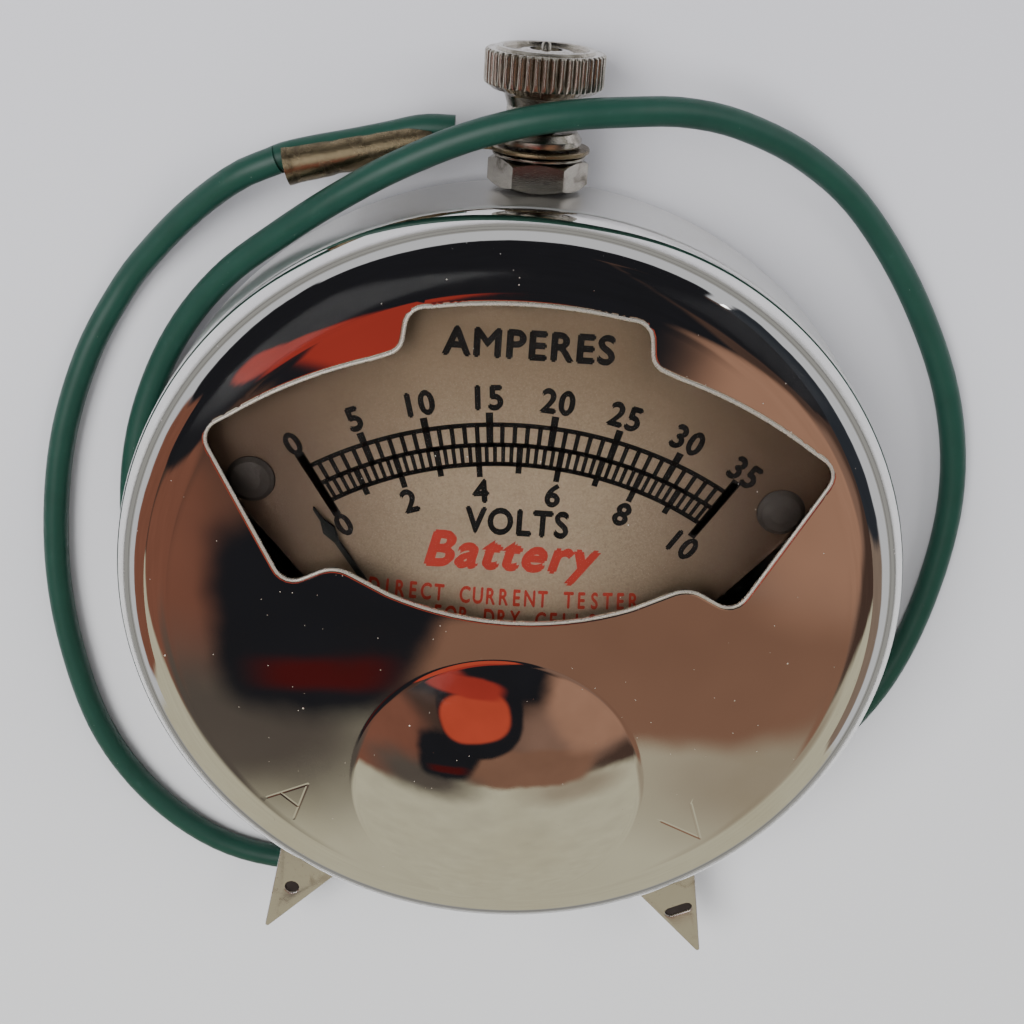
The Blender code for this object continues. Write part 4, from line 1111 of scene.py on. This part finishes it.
def make_studio():
    bm = bmesh.new()
    bmesh.ops.create_grid(bm, x_segments=8, y_segments=8, size=0.9)
    mesh = bpy.data.meshes.new("floor")
    bm.to_mesh(mesh)
    bm.free()
    mesh.materials.append(floor_material())
    floor = bpy.data.objects.new("floor", mesh)
    bpy.context.collection.objects.link(floor)
    floor.location.z = -0.00002

    world = bpy.data.worlds.new("studio")
    bpy.context.scene.world = world
    world.use_nodes = True
    world.node_tree.nodes["Background"].inputs["Color"].default_value = (0.86, 0.87, 0.90, 1)
    world.node_tree.nodes["Background"].inputs["Strength"].default_value = 0.75
    lamp("key", (-0.25, 0.10, 0.50), (0, 0, 0), (0.35, 0.35), 4.0)
    lamp("fill", (0.40, 0.25, 0.35), (0, 0, 0), (0.30, 0.30), 1.6)

    black, tan, rose = (0.016, 0.016, 0.019), (0.38, 0.205, 0.135), (0.22, 0.088, 0.058)
    cream, brown, red = (0.57, 0.53, 0.38), (0.075, 0.045, 0.035), (0.37, 0.042, 0.030)
    card("backing", (0.0, 0.080, 0.182), 0.66, 0.46, brown, 0.10, corner=12)
    card("cream", (0.0, -0.470, 0.178), 1.10, 0.72, cream, 0.035, corner=16)
    card("cream_wall", (0.0, -0.560, 0.090), 1.20, 0.20, cream, 0.10, (90, 0, 0), corner=12)
    card("beige_right", (0.080, -0.135, 0.1775), 0.150, 0.070, (0.36, 0.300, 0.215), 0.80, corner=2.2)
    card("brown_right", (0.110, -0.042, 0.174), 0.26, 0.10, (0.235, 0.136, 0.098), 0.40, (0, 0, 24))
    card("rose_left", (-0.160, -0.088, 0.174), 0.22, 0.125, rose, 0.25)
    card("warm_middle", (0.030, -0.099, 0.173), 0.14, 0.056, (0.23, 0.120, 0.078), 0.30)
    card("dark_top", (-0.108, 0.114, 0.172), 0.375, 0.30, black, 0.06, corner=10, wave=0.006)
    card("dark_corner", (0.170, 0.150, 0.1725), 0.20, 0.22, black, 0.10)
    card("tan_right", (0.100, -0.028, 0.1715), 0.138, 0.112, tan, 0.30, (0, 0, 18), 2.8)
    card("grey_low", (-0.065, -0.124, 0.171), 0.15, 0.075, (0.10, 0.083, 0.068), 0.75, (0, 0, -6), 2.5)
    card("dark_left", (-0.040, -0.090, 0.170), 0.058, 0.066, black, 0.28, (0, 0, -5), 3)
    card("red_low", (-0.039, -0.104, 0.1695), 0.044, 0.013, (0.075, 0.010, 0.010), 0.60, (0, 0, 4), wave=0.004)
    card("dark_ring", (-0.014, -0.044, 0.169), 0.072, 0.086, black, 0.10, (0, 0, 10), 2.3, 0.004)
    card("red_round", (-0.018, -0.046, 0.168), 0.060, 0.050, (0.52, 0.075, 0.040), 0.15, (0, 0, 14), 2.6, 0.002)
    card("red_strip", (-0.030, -0.019, 0.167), 0.076, 0.020, red, 0.30, (0, 0, -8), wave=0.005)
    card("red_tail", (-0.088, 0.011, 0.1675), 0.165, 0.032, red, 0.35, (0, 0, -28), 3, 0.006)
    card("dark_back", (-0.030, 0.262, 0.190), 0.50, 0.21, black, 0.06, (90, 0, 0), 12, 0.006)
    card("dark_side", (0.262, 0.110, 0.185), 0.22, 0.34, (0.030, 0.034, 0.042), 0.10, (0, 90, 0), 8)
    card("brown_side", (0.270, -0.150, 0.180), 0.21, 0.26, (0.24, 0.175, 0.135), 0.15, (0, 90, 0), 8)
    card("dark_left_side", (-0.275, 0.170, 0.180), 0.22, 0.26, black, 0.12, (0, 90, 0), 8)
    card("rose_side", (-0.285, -0.090, 0.170), 0.23, 0.32, rose, 0.12, (0, 90, 0), 8)
    # These three cards lie on the floor and show only in reflections: painted reflections that darken the floor as
    # the chrome mirrors it.
    card("floor_reflection_tint", (0.0, 0.0, 0.0004), 1.2, 1.2, (0.35, 0.345, 0.325), 0.10, corner=2, hole=0.13)
    card("floor_ring", (0.0, 0.02, 0.0008), 0.170, 0.170, (0.12, 0.12, 0.115), 0.20, corner=2, wave=0.006, hole=0.86)
    card("far_ring", (0.0, 0.03, 0.0008), 0.46, 0.40, (0.16, 0.16, 0.155), 0.25, corner=2, hole=0.80)


make_camera()
LEAD_LENGTH = make_lead()
make_front_cover()
make_cup()
make_prongs()
make_printing()
make_dial_screws()
make_post()
make_lug()
finish_nodes()
make_studio()
